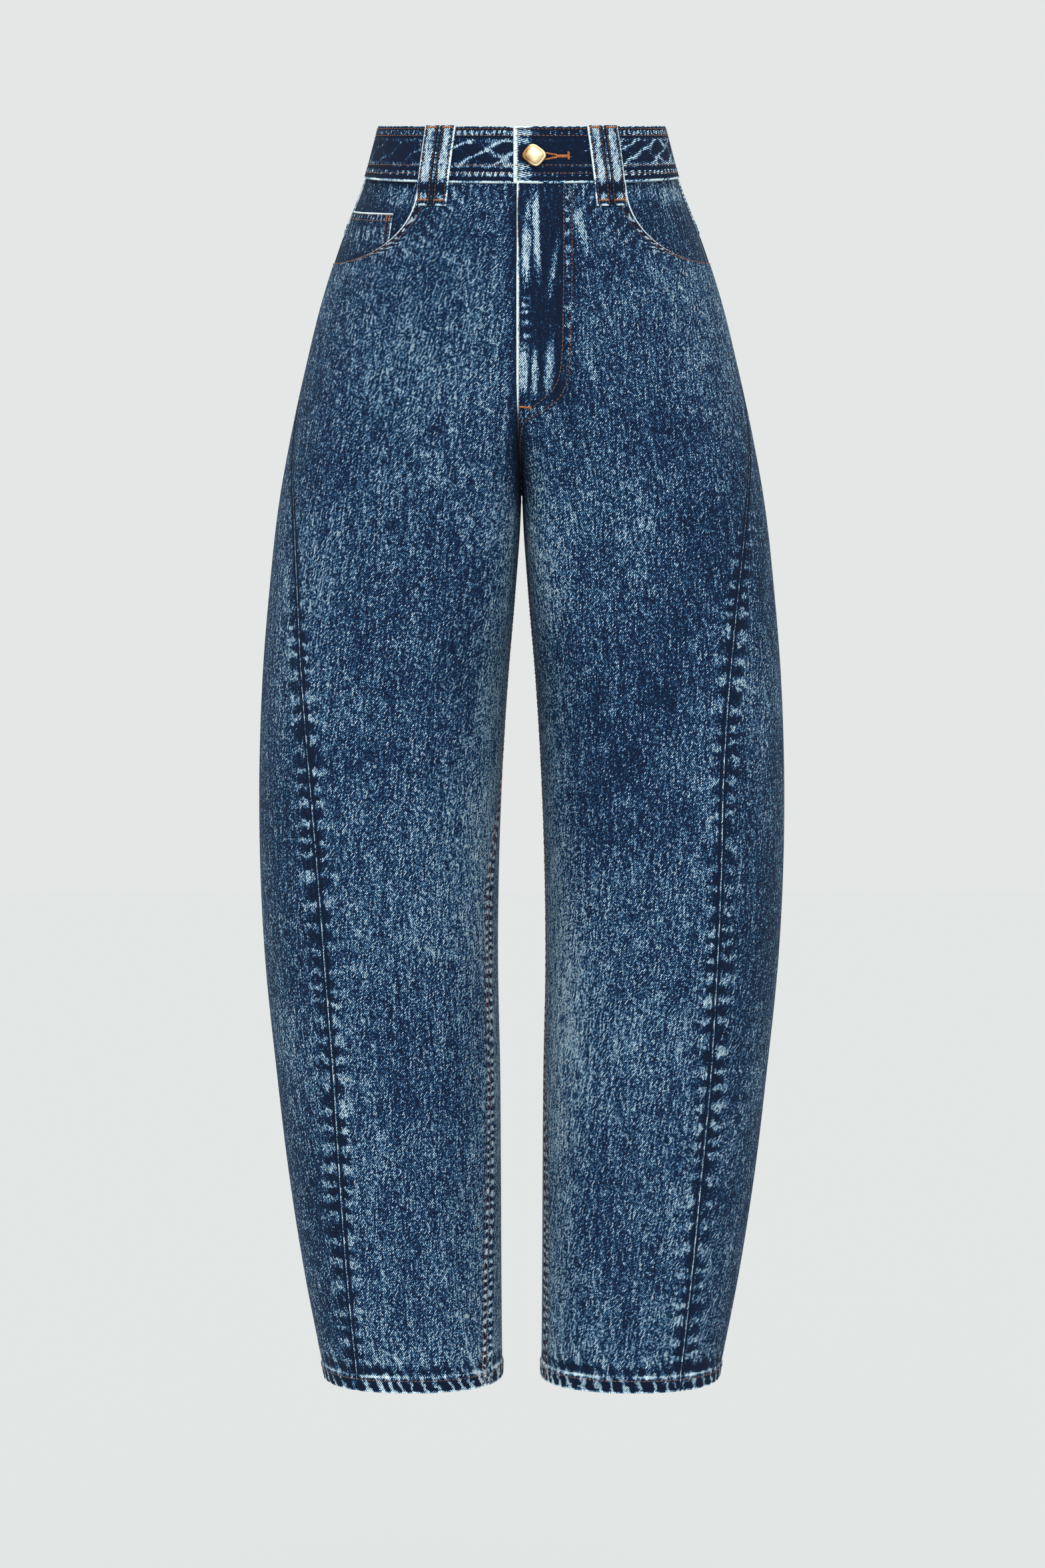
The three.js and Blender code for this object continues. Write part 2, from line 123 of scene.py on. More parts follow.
# %% [markdown]
# ## Floor and light
# A studio floor is painted or rolled paper, matt and pale. The jeans are held at the waist, so it lies
# well below the hems, and the world has the same pale grey, so no horizon shows. Two suns with a wide
# disc give the even light of large soft boxes: the key from high up in front, almost in the camera's
# line, and a weaker and lower one from the left. The colours are shown as they are, without a film
# curve, because a curve would grey the indigo and the white of the wash.

# %% Floor and light
BACKDROP = "#e4e7e6"
FLOOR_LEVEL = -2.0
FLOOR_HALF = 40

world = bpy.data.worlds.new("studio")
world.use_nodes = True
set_inputs(world.node_tree, world.node_tree.nodes["Background"],
           {"Color": linear(BACKDROP), "Strength": 1.0})
bpy.context.scene.world = world
bpy.context.scene.view_settings.view_transform = "Standard"

paper, paper_tree, paper_shader = new_material("matt_studio_paper")
set_inputs(paper_tree, paper_shader, {"Base Color": (0.68, 0.69, 0.687, 1), "Roughness": 1.0,
                                      "Specular IOR Level": 0.0})
floor_mesh = bpy.data.meshes.new("studio_floor")
corners = [(x * FLOOR_HALF, y * FLOOR_HALF, FLOOR_LEVEL) for x, y in ((-1, -1), (1, -1), (1, 1), (-1, 1))]
floor_mesh.from_pydata(corners, [], [(0, 1, 2, 3)])
floor = bpy.data.objects.new("studio_floor", floor_mesh)
floor.data.materials.append(paper)
bpy.context.scene.collection.objects.link(floor)

# name, strength, disc in degrees, tilt from straight down, turn about Z (0 shines along +Y)
SUNS = [("key", 1.5, 30, 50, -4), ("fill", 0.42, 70, 74, 40)]
for name, strength, disc, tilt, turned in SUNS:
    sun = bpy.data.objects.new(name, bpy.data.lights.new(name, "SUN"))
    sun.data.energy = strength
    sun.data.angle = np.radians(disc)
    sun.rotation_euler = (np.radians(tilt), 0, np.radians(-turned))
    bpy.context.scene.collection.objects.link(sun)

# %% [markdown]
# ## The form of the jeans
# A patternmaker fixes a pair of jeans by its girths at a few levels. Here each row of a table is one
# ring: how far out, in front and behind it reaches, and where the seams lie on it. A smooth curve
# joins the rows. Every piece below is a stretch of this one surface, so neighbours meet by themselves.
# All sizes are in millimetres until a mesh is made.

# %% Sizes
CLOTH = 1.6
SEAM_GAP = 0.3
BAND_OUT = 1.1
BAND_IN = 1.5
BAND_DEPTH = 42
GROOVE_TOP = -222
FORK = -315
HEM = -1025
HEM_FOLD = 11.5
HEM_PROUD = 0.9
BACK_RISE = 0.7
FLY_SHIFT = -4
FLY_PROUD = 1.2
FLY_FADE = (14, 40)
MOUTH_INNER = 83
MOUTH_DEPTH = 71
MOUTH_POWER = 1.8
FACING_OUT = -CLOTH - 1.1
YOKE_SIDE = -88
YOKE_CENTRE = -118
PANEL_TOP = -BAND_DEPTH - SEAM_GAP
POCKET_END = -BAND_DEPTH - MOUTH_DEPTH
YOKE_BOTTOM = YOKE_SIDE - SEAM_GAP
LEG_ROUNDNESS = 2.3
THIGH_FLATNESS = 2.6
THIGH_TO = -480
LEG_FORM = (-140, -330)

RING_NAMES = ("level outer inner front back side tilt "
              "outseam_left outseam_right inseam_left inseam_right").split()
RINGS = np.array([
    [4, 116, 0, 88, 80, 0, 0.21, 180, 180, 0, 0],
    [-42, 128.5, 0, 97, 94, 2, 0.235, 180, 180, 0, 0],
    [-88, 146, 0, 105, 113, 4, 0.19, 180, 180, 0, 0],
    [-143, 164, 0, 111, 127, 6, 0.13, 180, 180, 0, 0],
    [-198, 177.5, 0, 113, 131, 7, 0.07, 174, 175, 0, 0],
    [-253, 189, 0, 111, 124, 6, 0.03, 161, 163, 0, 0],
    [FORK, 199.5, 0.6, 106, 109, 4, 0, 144.5, 147, 0, 0],
    [-380, 206.5, 5, 103, 100, 2, 0, 132.5, 137.5, 0, 0],
    [-450, 212, 11, 103, 99, 1, 0, 123, 130, 0, 0],
    [-528, 214.7, 15.7, 105, 100, 1, 0, 117, 123, 1, 4],
    [-610, 214, 18.6, 104, 101, 2, 0, 115.5, 118, 2, 20],
    [-690, 209.7, 19.3, 99, 99, 4, 0, 115.3, 116, 3, 22],
    [-775, 201, 17.6, 91, 94, 6, 0, 116.8, 116.4, 7, 23],
    [-858, 191.3, 17, 81, 89, 8, 0.01, 116.8, 118.4, 13, 25],
    [-940, 178.6, 16.6, 71, 84, 9, 0.03, 118.2, 121.6, 14.5, 29],
    [HEM, 162, 16, 61, 79, 10, 0.048, 121, 126, 15.5, 33],
])
# Soft troughs: level and turn of the middle, half length in degrees, half height, depth, fall
FOLDS = np.array([
    [-272, 62, 44, 15, 2.4, -30],
    [-330, 285, 40, 16, 4.2, 34],
    [-372, 300, 38, 15, 3.4, 28],
    [-590, 272, 48, 17, 3.6, 12],
    [-636, 262, 42, 15, 3, -10],
])


# %% The surface
def smoothstep(x, start, end):
    """3t^2 - 2t^3, where t is how far x has gone from start to end, kept within 0 and 1."""
    t = np.clip((x - start) / (end - start), 0, 1)
    return t * t * (3 - 2 * t)


def ring_at(level):
    """A ring's values at any levels: a cubic through the table's rows, whose slope at each row is
    the slope from the row before it to the row after it."""
    level = np.asarray(level, float)
    rows = RINGS[:, 0]
    last = len(rows) - 1
    before = np.maximum(np.arange(last + 1) - 1, 0)
    after = np.minimum(np.arange(last + 1) + 1, last)
    slopes = (RINGS[after] - RINGS[before]) / (rows[after] - rows[before])[:, None]
    i = np.clip((rows > level[..., None]).sum(-1) - 1, 0, last - 1)
    span = (rows[i + 1] - rows[i])[..., None]
    t = (level[..., None] - rows[i][..., None]) / span
    made = ((2 * t**3 - 3 * t**2 + 1) * RINGS[i] + (t**3 - 2 * t**2 + t) * span * slopes[i]
            + (3 * t**2 - 2 * t**3) * RINGS[i + 1] + (t**3 - t**2) * span * slopes[i + 1])
    return dict(zip(RING_NAMES, np.moveaxis(made, -1, 0)))


def round_form(x, power):
    """A superellipse's height at x: the power-th root of 1 - x^power."""
    return (1 - np.clip(x, 0, 1) ** power) ** (1 / power)


def inner_edge(side, level, is_front):
    """Where a side's cloth starts: the lapping front reaches past the centre, above the fork."""
    shift = side * FLY_SHIFT * (1 - smoothstep(level, GROOVE_TOP, FORK))
    return ring_at(level)["inner"] + np.where(is_front, shift, 0)


def fold_depth(level, turn):
    """Each fold is a bell curve across a line that slopes; they fade towards the sides."""
    total = np.zeros(np.shape(level))
    for at, middle, half_length, half_height, depth, fall in FOLDS:
        along = (turn - middle) / half_length
        across = (level - at - fall * along) / half_height
        total = total + depth * np.exp(-across**2 - along**2)
    return total * np.sin(np.radians(turn)) ** 2


def surface(side, level, turn):
    """Points of the outer surface. turn runs round one leg in degrees: 0 at the centre front or
    inner leg, 90 in front, 180 outermost, 270 behind. The body's ellipse turns into a rounder leg,
    and a groove sinks between the legs above the fork."""
    level, turn = np.broadcast_arrays(np.asarray(level, float), np.asarray(turn, float))
    r = ring_at(level)
    is_front = np.sin(np.radians(turn)) >= 0
    inner = inner_edge(side, level, is_front)
    half = (r["outer"] - inner) / 2
    middle = (r["outer"] + inner) / 2
    x = middle - half * np.cos(np.radians(turn))
    depth = np.where(is_front, r["front"] + r["side"], r["back"] - r["side"])
    body = np.sqrt(np.maximum(0, 1 - (x / r["outer"]) ** 2))
    leg = round_form((x - middle) / half, LEG_ROUNDNESS)
    is_leg = smoothstep(level, *LEG_FORM)
    flatness = THIGH_FLATNESS * (1 - smoothstep(level, FORK, THIGH_TO))
    inner_form = round_form(1 - (x - inner) / half, LEG_ROUNDNESS + flatness)
    centre = 1 - np.clip((GROOVE_TOP - level) / (GROOVE_TOP - FORK), 0, 1) ** 2
    groove = np.sqrt(inner_form**2 + centre**2 * (1 - inner_form**2))
    y = r["side"] + np.where(is_front, -1, 1) * depth * ((1 - is_leg) * body + is_leg * leg) * groove
    z = level + r["tilt"] * np.where(y < 0, y, y * BACK_RISE)
    points = np.stack([side * (x + SEAM_GAP / 2), y, z], -1)
    axis = np.stack([side * middle, r["side"], z], -1)
    inwards = axis - points
    inwards /= np.maximum(np.linalg.norm(inwards, axis=-1, keepdims=True), 1e-9)
    return points + inwards * fold_depth(level, turn)[..., None]


def unit(vectors):
    return vectors / np.maximum(np.linalg.norm(vectors, axis=-1, keepdims=True), 1e-12)


def on_side(side, level, turn):
    """Points of one side of the garment and the way out of the cloth there: the cross product of
    a small step round the leg and a small step up it."""
    level, turn = np.broadcast_arrays(np.asarray(level, float), np.asarray(turn, float))
    step = 1.5
    is_tube = level <= FORK
    is_back = turn > 180
    low = np.where(is_tube, turn - step, np.maximum(turn - step, np.where(is_back, 180, 0)))
    high = np.where(is_tube, turn + step, np.minimum(turn + step, np.where(is_back, 360, 180)))
    around = surface(side, level, high) - surface(side, level, low)
    up = surface(side, level + step, turn) - surface(side, level - step, turn)
    return surface(side, level, turn), unit(np.cross(around, up) * side)


def on_body(level, angle):
    """Points of the waist's rings and the way out: 0 is the centre front, 90 the wearer's left."""
    def ring(at, around):
        r = ring_at(at)
        a = np.radians(around)
        y = r["side"] - np.where(np.cos(a) > 0, r["front"] + r["side"], r["back"] - r["side"]) * np.cos(a)
        return np.stack([r["outer"] * np.sin(a), y, at + r["tilt"] * np.where(y < 0, y, y * BACK_RISE)], -1)
    level, angle = np.broadcast_arrays(np.asarray(level, float), np.asarray(angle, float))
    around = ring(level, angle + 1) - ring(level, angle - 1)
    up = ring(level + 1, angle) - ring(level - 1, angle)
    return ring(level, angle), unit(np.cross(around, up))


def turn_at(side, level, x):
    """The turn at which the front surface lies x out from the centre."""
    inner = inner_edge(side, level, True)
    outer = ring_at(level)["outer"]
    return np.degrees(np.arccos(np.clip((outer + inner - 2 * x) / (outer - inner), -1, 1)))


def gap_turn(level):
    """Half the seam gap, as a turn."""
    r = ring_at(level)
    return np.degrees(SEAM_GAP / (r["outer"] - r["inner"]))


def inseam_gap_turn(side, level):
    """Half the seam gap at the inner leg, as a turn. Below the fork the inner thigh is nearly flat,
    and a small turn there is many millimetres long, so the superellipse is solved for the gap."""
    power = LEG_ROUNDNESS + THIGH_FLATNESS * (1 - smoothstep(level, FORK, THIGH_TO))
    share = 0.5 * SEAM_GAP / ring_at(level)["front"]
    flat_turn = np.degrees(np.arccos((1 - share**power) ** (1 / power)))
    return np.where(inseam(side, level) < 0.5, np.minimum(flat_turn, gap_turn(level)), gap_turn(level))


def mouth(side, along, inner=MOUTH_INNER, depth=MOUTH_DEPTH):
    """The scooped pocket mouth, a quarter of a superellipse from the waistband, 0, to the side, 1."""
    angle = np.pi / 2 * (1 - (1 - along) ** MOUTH_POWER)
    level = PANEL_TOP - (depth + PANEL_TOP + BAND_DEPTH) * np.sin(angle) ** (2 / MOUTH_POWER)
    outer = ring_at(level)["outer"]
    x = outer - (outer - inner) * np.maximum(0, np.cos(angle)) ** (2 / MOUTH_POWER)
    return level, np.minimum(turn_at(side, level, x), 180 - gap_turn(level))


GIRTH_STEP = (5.0, 3.0)  # mm down and degrees round, between the table's points
GIRTH_LEVELS = np.arange(10, HEM - 12, -GIRTH_STEP[0])
GIRTH_TURNS = np.arange(0, 400, GIRTH_STEP[1])
GIRTHS = {}
for side in (1, -1):
    rings = surface(side, GIRTH_LEVELS[:, None], GIRTH_TURNS[None, :])
    steps = np.linalg.norm(np.diff(rings, axis=1), axis=-1)
    GIRTHS[side] = np.concatenate([np.zeros((len(steps), 1)), np.cumsum(steps, 1)], 1)


def straight_grain(side, level, turn, middle, seed):
    """Where a point lies in the cloth, in mm: round its ring from the middle turn, and up it. The
    length round a ring is read from a table between its four nearest points."""
    def length(at):
        i = np.clip((GIRTH_LEVELS[0] - level) / GIRTH_STEP[0], 0, len(GIRTH_LEVELS) - 1.001)
        j = np.clip(at / GIRTH_STEP[1], 0, len(GIRTH_TURNS) - 1.001)
        i, j = np.broadcast_arrays(i, j)
        i0, j0 = i.astype(int), j.astype(int)
        a, b = i - i0, j - j0
        table = GIRTHS[side]
        return ((1 - a) * ((1 - b) * table[i0, j0] + b * table[i0, j0 + 1])
                + a * ((1 - b) * table[i0 + 1, j0] + b * table[i0 + 1, j0 + 1]))
    u = side * (length(turn) - length(np.full(np.shape(turn), float(middle))))
    return np.stack(np.broadcast_arrays(u, level, 97.0 * seed), -1)


def outseam(side, level):
    return np.minimum(180, ring_at(level)["outseam_left" if side > 0 else "outseam_right"])


def inseam(side, level):
    turns = np.maximum(0, ring_at(level)["inseam_left" if side > 0 else "inseam_right"])
    return np.where(level < FORK, turns, 0)


print("hip girth on one side:", np.round(surface(1, -198, np.array([0, 90, 180, 270])), 1).tolist())


# %% [markdown]
# ## Cloth as a closed shell
# Denim is a sheet about a millimetre and a half thick, and where it is cut or folded its edge is
# round. A Solidify modifier gives a flat edge, so the shell is made directly: an outer grid, an inner
# grid, and three rings round the border on a half ellipse. Every point also carries where it lies in
# the weave and how worn it is, because wear sits on the ridges that the sewing makes.

# %% Helpers for cloth
BORDERS = ("top", "end", "foot", "start")  # the four borders of a grid, in the order of its outline


def distances(points):
    """How far each grid point lies from the four borders, along the rows and columns."""
    def run(axis):
        steps = np.linalg.norm(np.diff(points, axis=axis), axis=-1)
        start = np.zeros_like(np.take(steps, [0], axis=axis))
        return np.concatenate([start, np.cumsum(steps, axis=axis)], axis=axis)
    across, down = run(1), run(0)
    return {"start": across, "end": across[:, -1:] - across, "top": down, "foot": down[-1:] - down}


def close_stops(length, finest, widest, ends=(True, True)):
    """Shares from 0 to 1, a fine step apart at the chosen ends and growing by 1.35 to the widest."""
    steps = [finest]
    while steps[-1] * 1.35 < widest:
        steps.append(steps[-1] * 1.35)
    head = np.cumsum([0] + steps)
    at_start = head if ends[0] else np.array([0.0])
    at_end = length - head[::-1] if ends[1] else np.array([length])
    count = max(2, int(round((at_end[0] - at_start[-1]) / widest)) + 1)
    middle = np.linspace(at_start[-1], at_end[0], count)
    return np.concatenate([at_start[:-1], middle, at_end[1:]]) / length


def new_object(name, points, faces, attributes):
    """A mesh in metres from points in millimetres, with one attribute for each named array."""
    mesh = bpy.data.meshes.new(name)
    mesh.vertices.add(len(points))
    mesh.vertices.foreach_set("co", (points * 0.001).astype(np.float32).ravel())
    count = sum(len(f) for f in faces)
    corners = np.concatenate([f.ravel() for f in faces])
    totals = np.concatenate([np.full(len(f), f.shape[1]) for f in faces])
    mesh.loops.add(len(corners))
    mesh.loops.foreach_set("vertex_index", corners.astype(np.int32))
    mesh.polygons.add(count)
    mesh.polygons.foreach_set("loop_start", (np.cumsum(totals) - totals).astype(np.int32))
    mesh.polygons.foreach_set("use_smooth", np.ones(count, bool))
    mesh.update(calc_edges=True)
    for key, values in attributes.items():
        kind, socket = ("FLOAT_VECTOR", "vector") if values.ndim == 2 else ("FLOAT", "value")
        made = mesh.attributes.new(key, kind, "POINT")
        made.data.foreach_set(socket, values.astype(np.float32).ravel())
    obj = bpy.data.objects.new(name, mesh)
    bpy.context.scene.collection.objects.link(obj)
    return obj


def shell(name, outer, inner, attributes, bulges, hole=None):
    """A closed wall between two grids. Its border is a half ellipse that stands bulge further out
    than the grids, and hole = (first row, last row, first column, last column) is left open."""
    rows, columns = outer.shape[:2]
    grid = np.arange(rows * columns).reshape(rows, columns)
    count = rows * columns

    def outline(r0, r1, c0, c1):
        part = grid[r0:r1 + 1, c0:c1 + 1]
        return np.concatenate([part[0, :-1], part[:-1, -1], part[-1, :0:-1], part[:0:-1, 0]])

    def rim(loop, away, bulge, first):
        out, inn = outer.reshape(-1, 3)[loop], inner.reshape(-1, 3)[loop]
        rings = [(out + inn) / 2 + (out - inn) / 2 * np.cos(a) + away * bulge[:, None] * np.sin(a)
                 for a in np.radians([45, 90, 135])]
        n = len(loop)
        lines = [loop, *[first + k * n + np.arange(n) for k in range(3)], loop + count]
        quads = [np.stack([np.roll(a, -1), a, b, np.roll(b, -1)], -1) for a, b in zip(lines, lines[1:])]
        return np.concatenate(rings), np.concatenate(quads)

    loop = outline(0, rows - 1, 0, columns - 1)
    r, c = loop // columns, loop % columns
    inside = grid[np.clip(r, 1, rows - 2), np.clip(c, 1, columns - 2)]
    flat = outer.reshape(-1, 3)
    border = np.select([r == 0, c == columns - 1, r == rows - 1], [0, 1, 2], 3)
    bulge = np.array([bulges[name] for name in BORDERS])[border]
    ring_points, ring_quads = rim(loop, unit(flat[loop] - flat[inside]), bulge, 2 * count)
    parts, quads, source = [flat, inner.reshape(-1, 3), ring_points], [ring_quads], [loop] * 3
    keep = np.ones((rows - 1, columns - 1), bool)
    if hole:
        r0, r1, c0, c1 = hole
        keep[r0:r1, c0:c1] = False
        ring = outline(*hole)[::-1]
        centre = flat[ring].mean(0)
        away = unit(centre - flat[ring])
        ring_points, ring_quads = rim(ring, away, np.full(len(ring), 0.05), 2 * count + len(parts[2]))
        parts.append(ring_points)
        quads.append(ring_quads)
        source += [ring] * 3
    a, b, c, d = grid[:-1, :-1][keep], grid[:-1, 1:][keep], grid[1:, 1:][keep], grid[1:, :-1][keep]
    quads.append(np.stack([a, b, c, d], -1))
    quads.append(np.stack([a, d, c, b], -1) + count)
    points, quads = np.concatenate(parts), np.concatenate(quads)
    corner = points[quads[:, :3]]
    volume = np.einsum("ij,ij->", corner[:, 0], np.cross(corner[:, 1], corner[:, 2]))
    if volume < 0:
        quads = quads[:, ::-1]
    everywhere = np.concatenate([np.arange(count), np.arange(count), *source])
    values = {key: v.reshape(count, *v.shape[2:])[everywhere] for key, v in attributes.items()}
    on_rims = np.concatenate([np.full(len(s), k) for s, k in zip(source, [0.0, 0.3, 0.8] * 2)])
    values["inside"] = np.concatenate([np.zeros(count), np.ones(count), on_rims])
    return new_object(name, points, [quads], values)


def bell(x, middle, half_width):
    return np.exp(-(((x - middle) / half_width) ** 2))


def block(x, middle, half_width):
    """1 inside the half width and 0 outside it, with a softer edge than a step."""
    return np.exp(-(((x - middle) / half_width) ** 4))


def uneven(run, pitch, seed):
    """Beats along a seam, one each pitch, that run ahead and fall behind as real puckers do."""
    return run / pitch + 0.33 * np.sin(run / 23.0 + seed) + 0.17 * np.sin(run / 8.7 + 2.1 * seed)


def strongest(*layers):
    """Of several seams' puckers, (beat, light, dark) each, keeps the one that is strongest there."""
    stack = np.stack([np.stack(np.broadcast_arrays(*layer), -1) for layer in layers])
    best = (np.abs(stack[..., 1]) + np.abs(stack[..., 2])).argmax(0)
    return np.take_along_axis(stack, best[None, ..., None], 0)[0]


PIECES = {}


def measured(outer):
    """A grid's longest row, its longest column and its area, in mm."""
    across = np.linalg.norm(np.diff(outer, axis=1), axis=-1).sum(1)
    down = np.linalg.norm(np.diff(outer, axis=0), axis=-1).sum(0)
    a, b = np.diff(outer, axis=0)[:, :-1], np.diff(outer, axis=1)[:-1]
    return across.max(), down.max(), np.linalg.norm(np.cross(a, b), axis=-1).sum()


def cloth(name, replaced, points, normals, out, inn, pucker, wash_and_painted_light, edge, weave, bulges,
          relief=0.35, hole=None):
    """Makes one cloth piece: the grid's points pushed out and in along their normals, with low
    ridges where the sewing puckers it. Keeps its grids for the stitches."""
    ridge = relief * pucker[..., 1] * np.sin(2 * np.pi * pucker[..., 0])
    outer = points + normals * (out + ridge)[..., None]
    inner = points + normals * (inn + 0.6 * ridge)[..., None]
    attributes = {"weave": weave, "pucker": pucker, "wash_and_painted_light": wash_and_painted_light, "edge": edge}
    attributes = {k: np.broadcast_to(v, points.shape if k in ("weave", "pucker") else points.shape[:2])
                  for k, v in attributes.items()}
    obj = shell(name, outer, inner, attributes, bulges, hole)
    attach(obj, "root")
    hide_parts(replaced)
    PIECES[name] = {"object": obj, "outer": outer, "normals": normals}
    width, length, area = measured(outer)
    print(f"{name}: {width:.0f} x {length:.0f} mm, area {area / 1e6:.4f} m2,",
          f"{len(obj.data.polygons) * 2} triangles")
    return obj


# %% [markdown]
# ## Front panels
# Each front is one long cut from the waistband to the hem. It is scooped out for the pocket, and its
# outer seam swings forward down the leg, which gives the barrel its curve. The wearer's left front
# laps over the right one at the fly. Sewing draws the cloth into small ridges along every seam. When
# the jeans are washed with stones, the ridges go pale and the hollows stay dark.

# %% Front panels
SIDES = {1: "left", -1: "right"}
SEAMED = 0.16  # a border that meets another piece
FOLDED = 0.75  # a border that is a fold of the cloth
MOUTH_ROWS = 56  # grid rows beside the pocket mouth
FAR = 1000.0  # mm, added to the distance from a border that has no seam there
LADDER_FROM = {1: -300, -1: -360}  # the level where each side seam's puckers begin


def seam_dip(*gaps):
    """The cloth turns down into a seam over the last millimetre or so."""
    return -sum(0.5 * np.exp(-((gap / 1.3) ** 2)) for gap in gaps)


def hem_lift(level):
    return HEM_PROUD * smoothstep(level, HEM + HEM_FOLD, HEM + HEM_FOLD - 1.2)


def leg_puckers(gap, level, run, blob, begins, seed):
    """The puckers that every leg panel has. The side seam's ladder of dark blobs, which begins at
    a level of the thigh, the rope of the inner seam's lap, and the hem's ridges, which lean a little."""
    strength = smoothstep(level, begins, begins - 70) * (0.8 + 0.2 * np.sin(level / 47.0 + 2 * seed))
    near, far = blob
    ladder = (uneven(-level, 16.0, seed), 0.55 * strength * bell(gap["out"], near + 1.5, far + 3),
              strength * bell(gap["out"], near, far))
    inner = smoothstep(level, FORK, -360)
    felled = (uneven(-level, 7.4, seed + 2), 1.15 * inner * block(gap["in"], 4.2, 2.3),
              0.95 * inner * bell(gap["in"], 4.0, 4.2))
    rope = (uneven(run + 0.42 * gap["foot"], 10.5, seed + 4),
            1.15 * bell(gap["foot"], 4.5, 5.5) + 0.35 * bell(gap["foot"], 22, 11),
            0.9 * bell(gap["foot"], 4.0, 6.5) + 0.5 * bell(gap["foot"], 17, 4.5))
    return [ladder, felled, rope]


def hem_wash(foot, run):
    """A pale line where the hem's fold ends, above the stitches, and a dark one above that."""
    patchy = 0.6 + 0.4 * np.sin(run / 11.0) * np.sin(run / 29.0 + 1)
    line = 0.8 * bell(foot, 12.4, 1.2) - 0.4 * bell(foot, 17.5, 3.6)
    return line * patchy - 0.34 * bell(foot, 5, 5)


# Bleached streaks on the fly: how far across, drift, half width, level, half height, weight
FLY_STREAKS = [
    (3.4, 0.6, 3.6, -102, 28, 0.78),
    (11.6, -1.2, 2.7, -86, 38, 0.82),
    (25, 3.4, 1.9, -116, 26, 0.6),
    (4.8, 0, 2.2, -65, 9, 0.55),
    (1.6, 0, 3.4, -208, 20, 0.78),
    (10.2, 0.5, 2.4, -211, 20, 0.72),
    (21.3, 1.5, 3.2, -206, 23, 0.7),
    (48, -4, 2.6, -84, 22, 0.3),
    (43, -2, 2.2, -76, 12, 0.3),
]


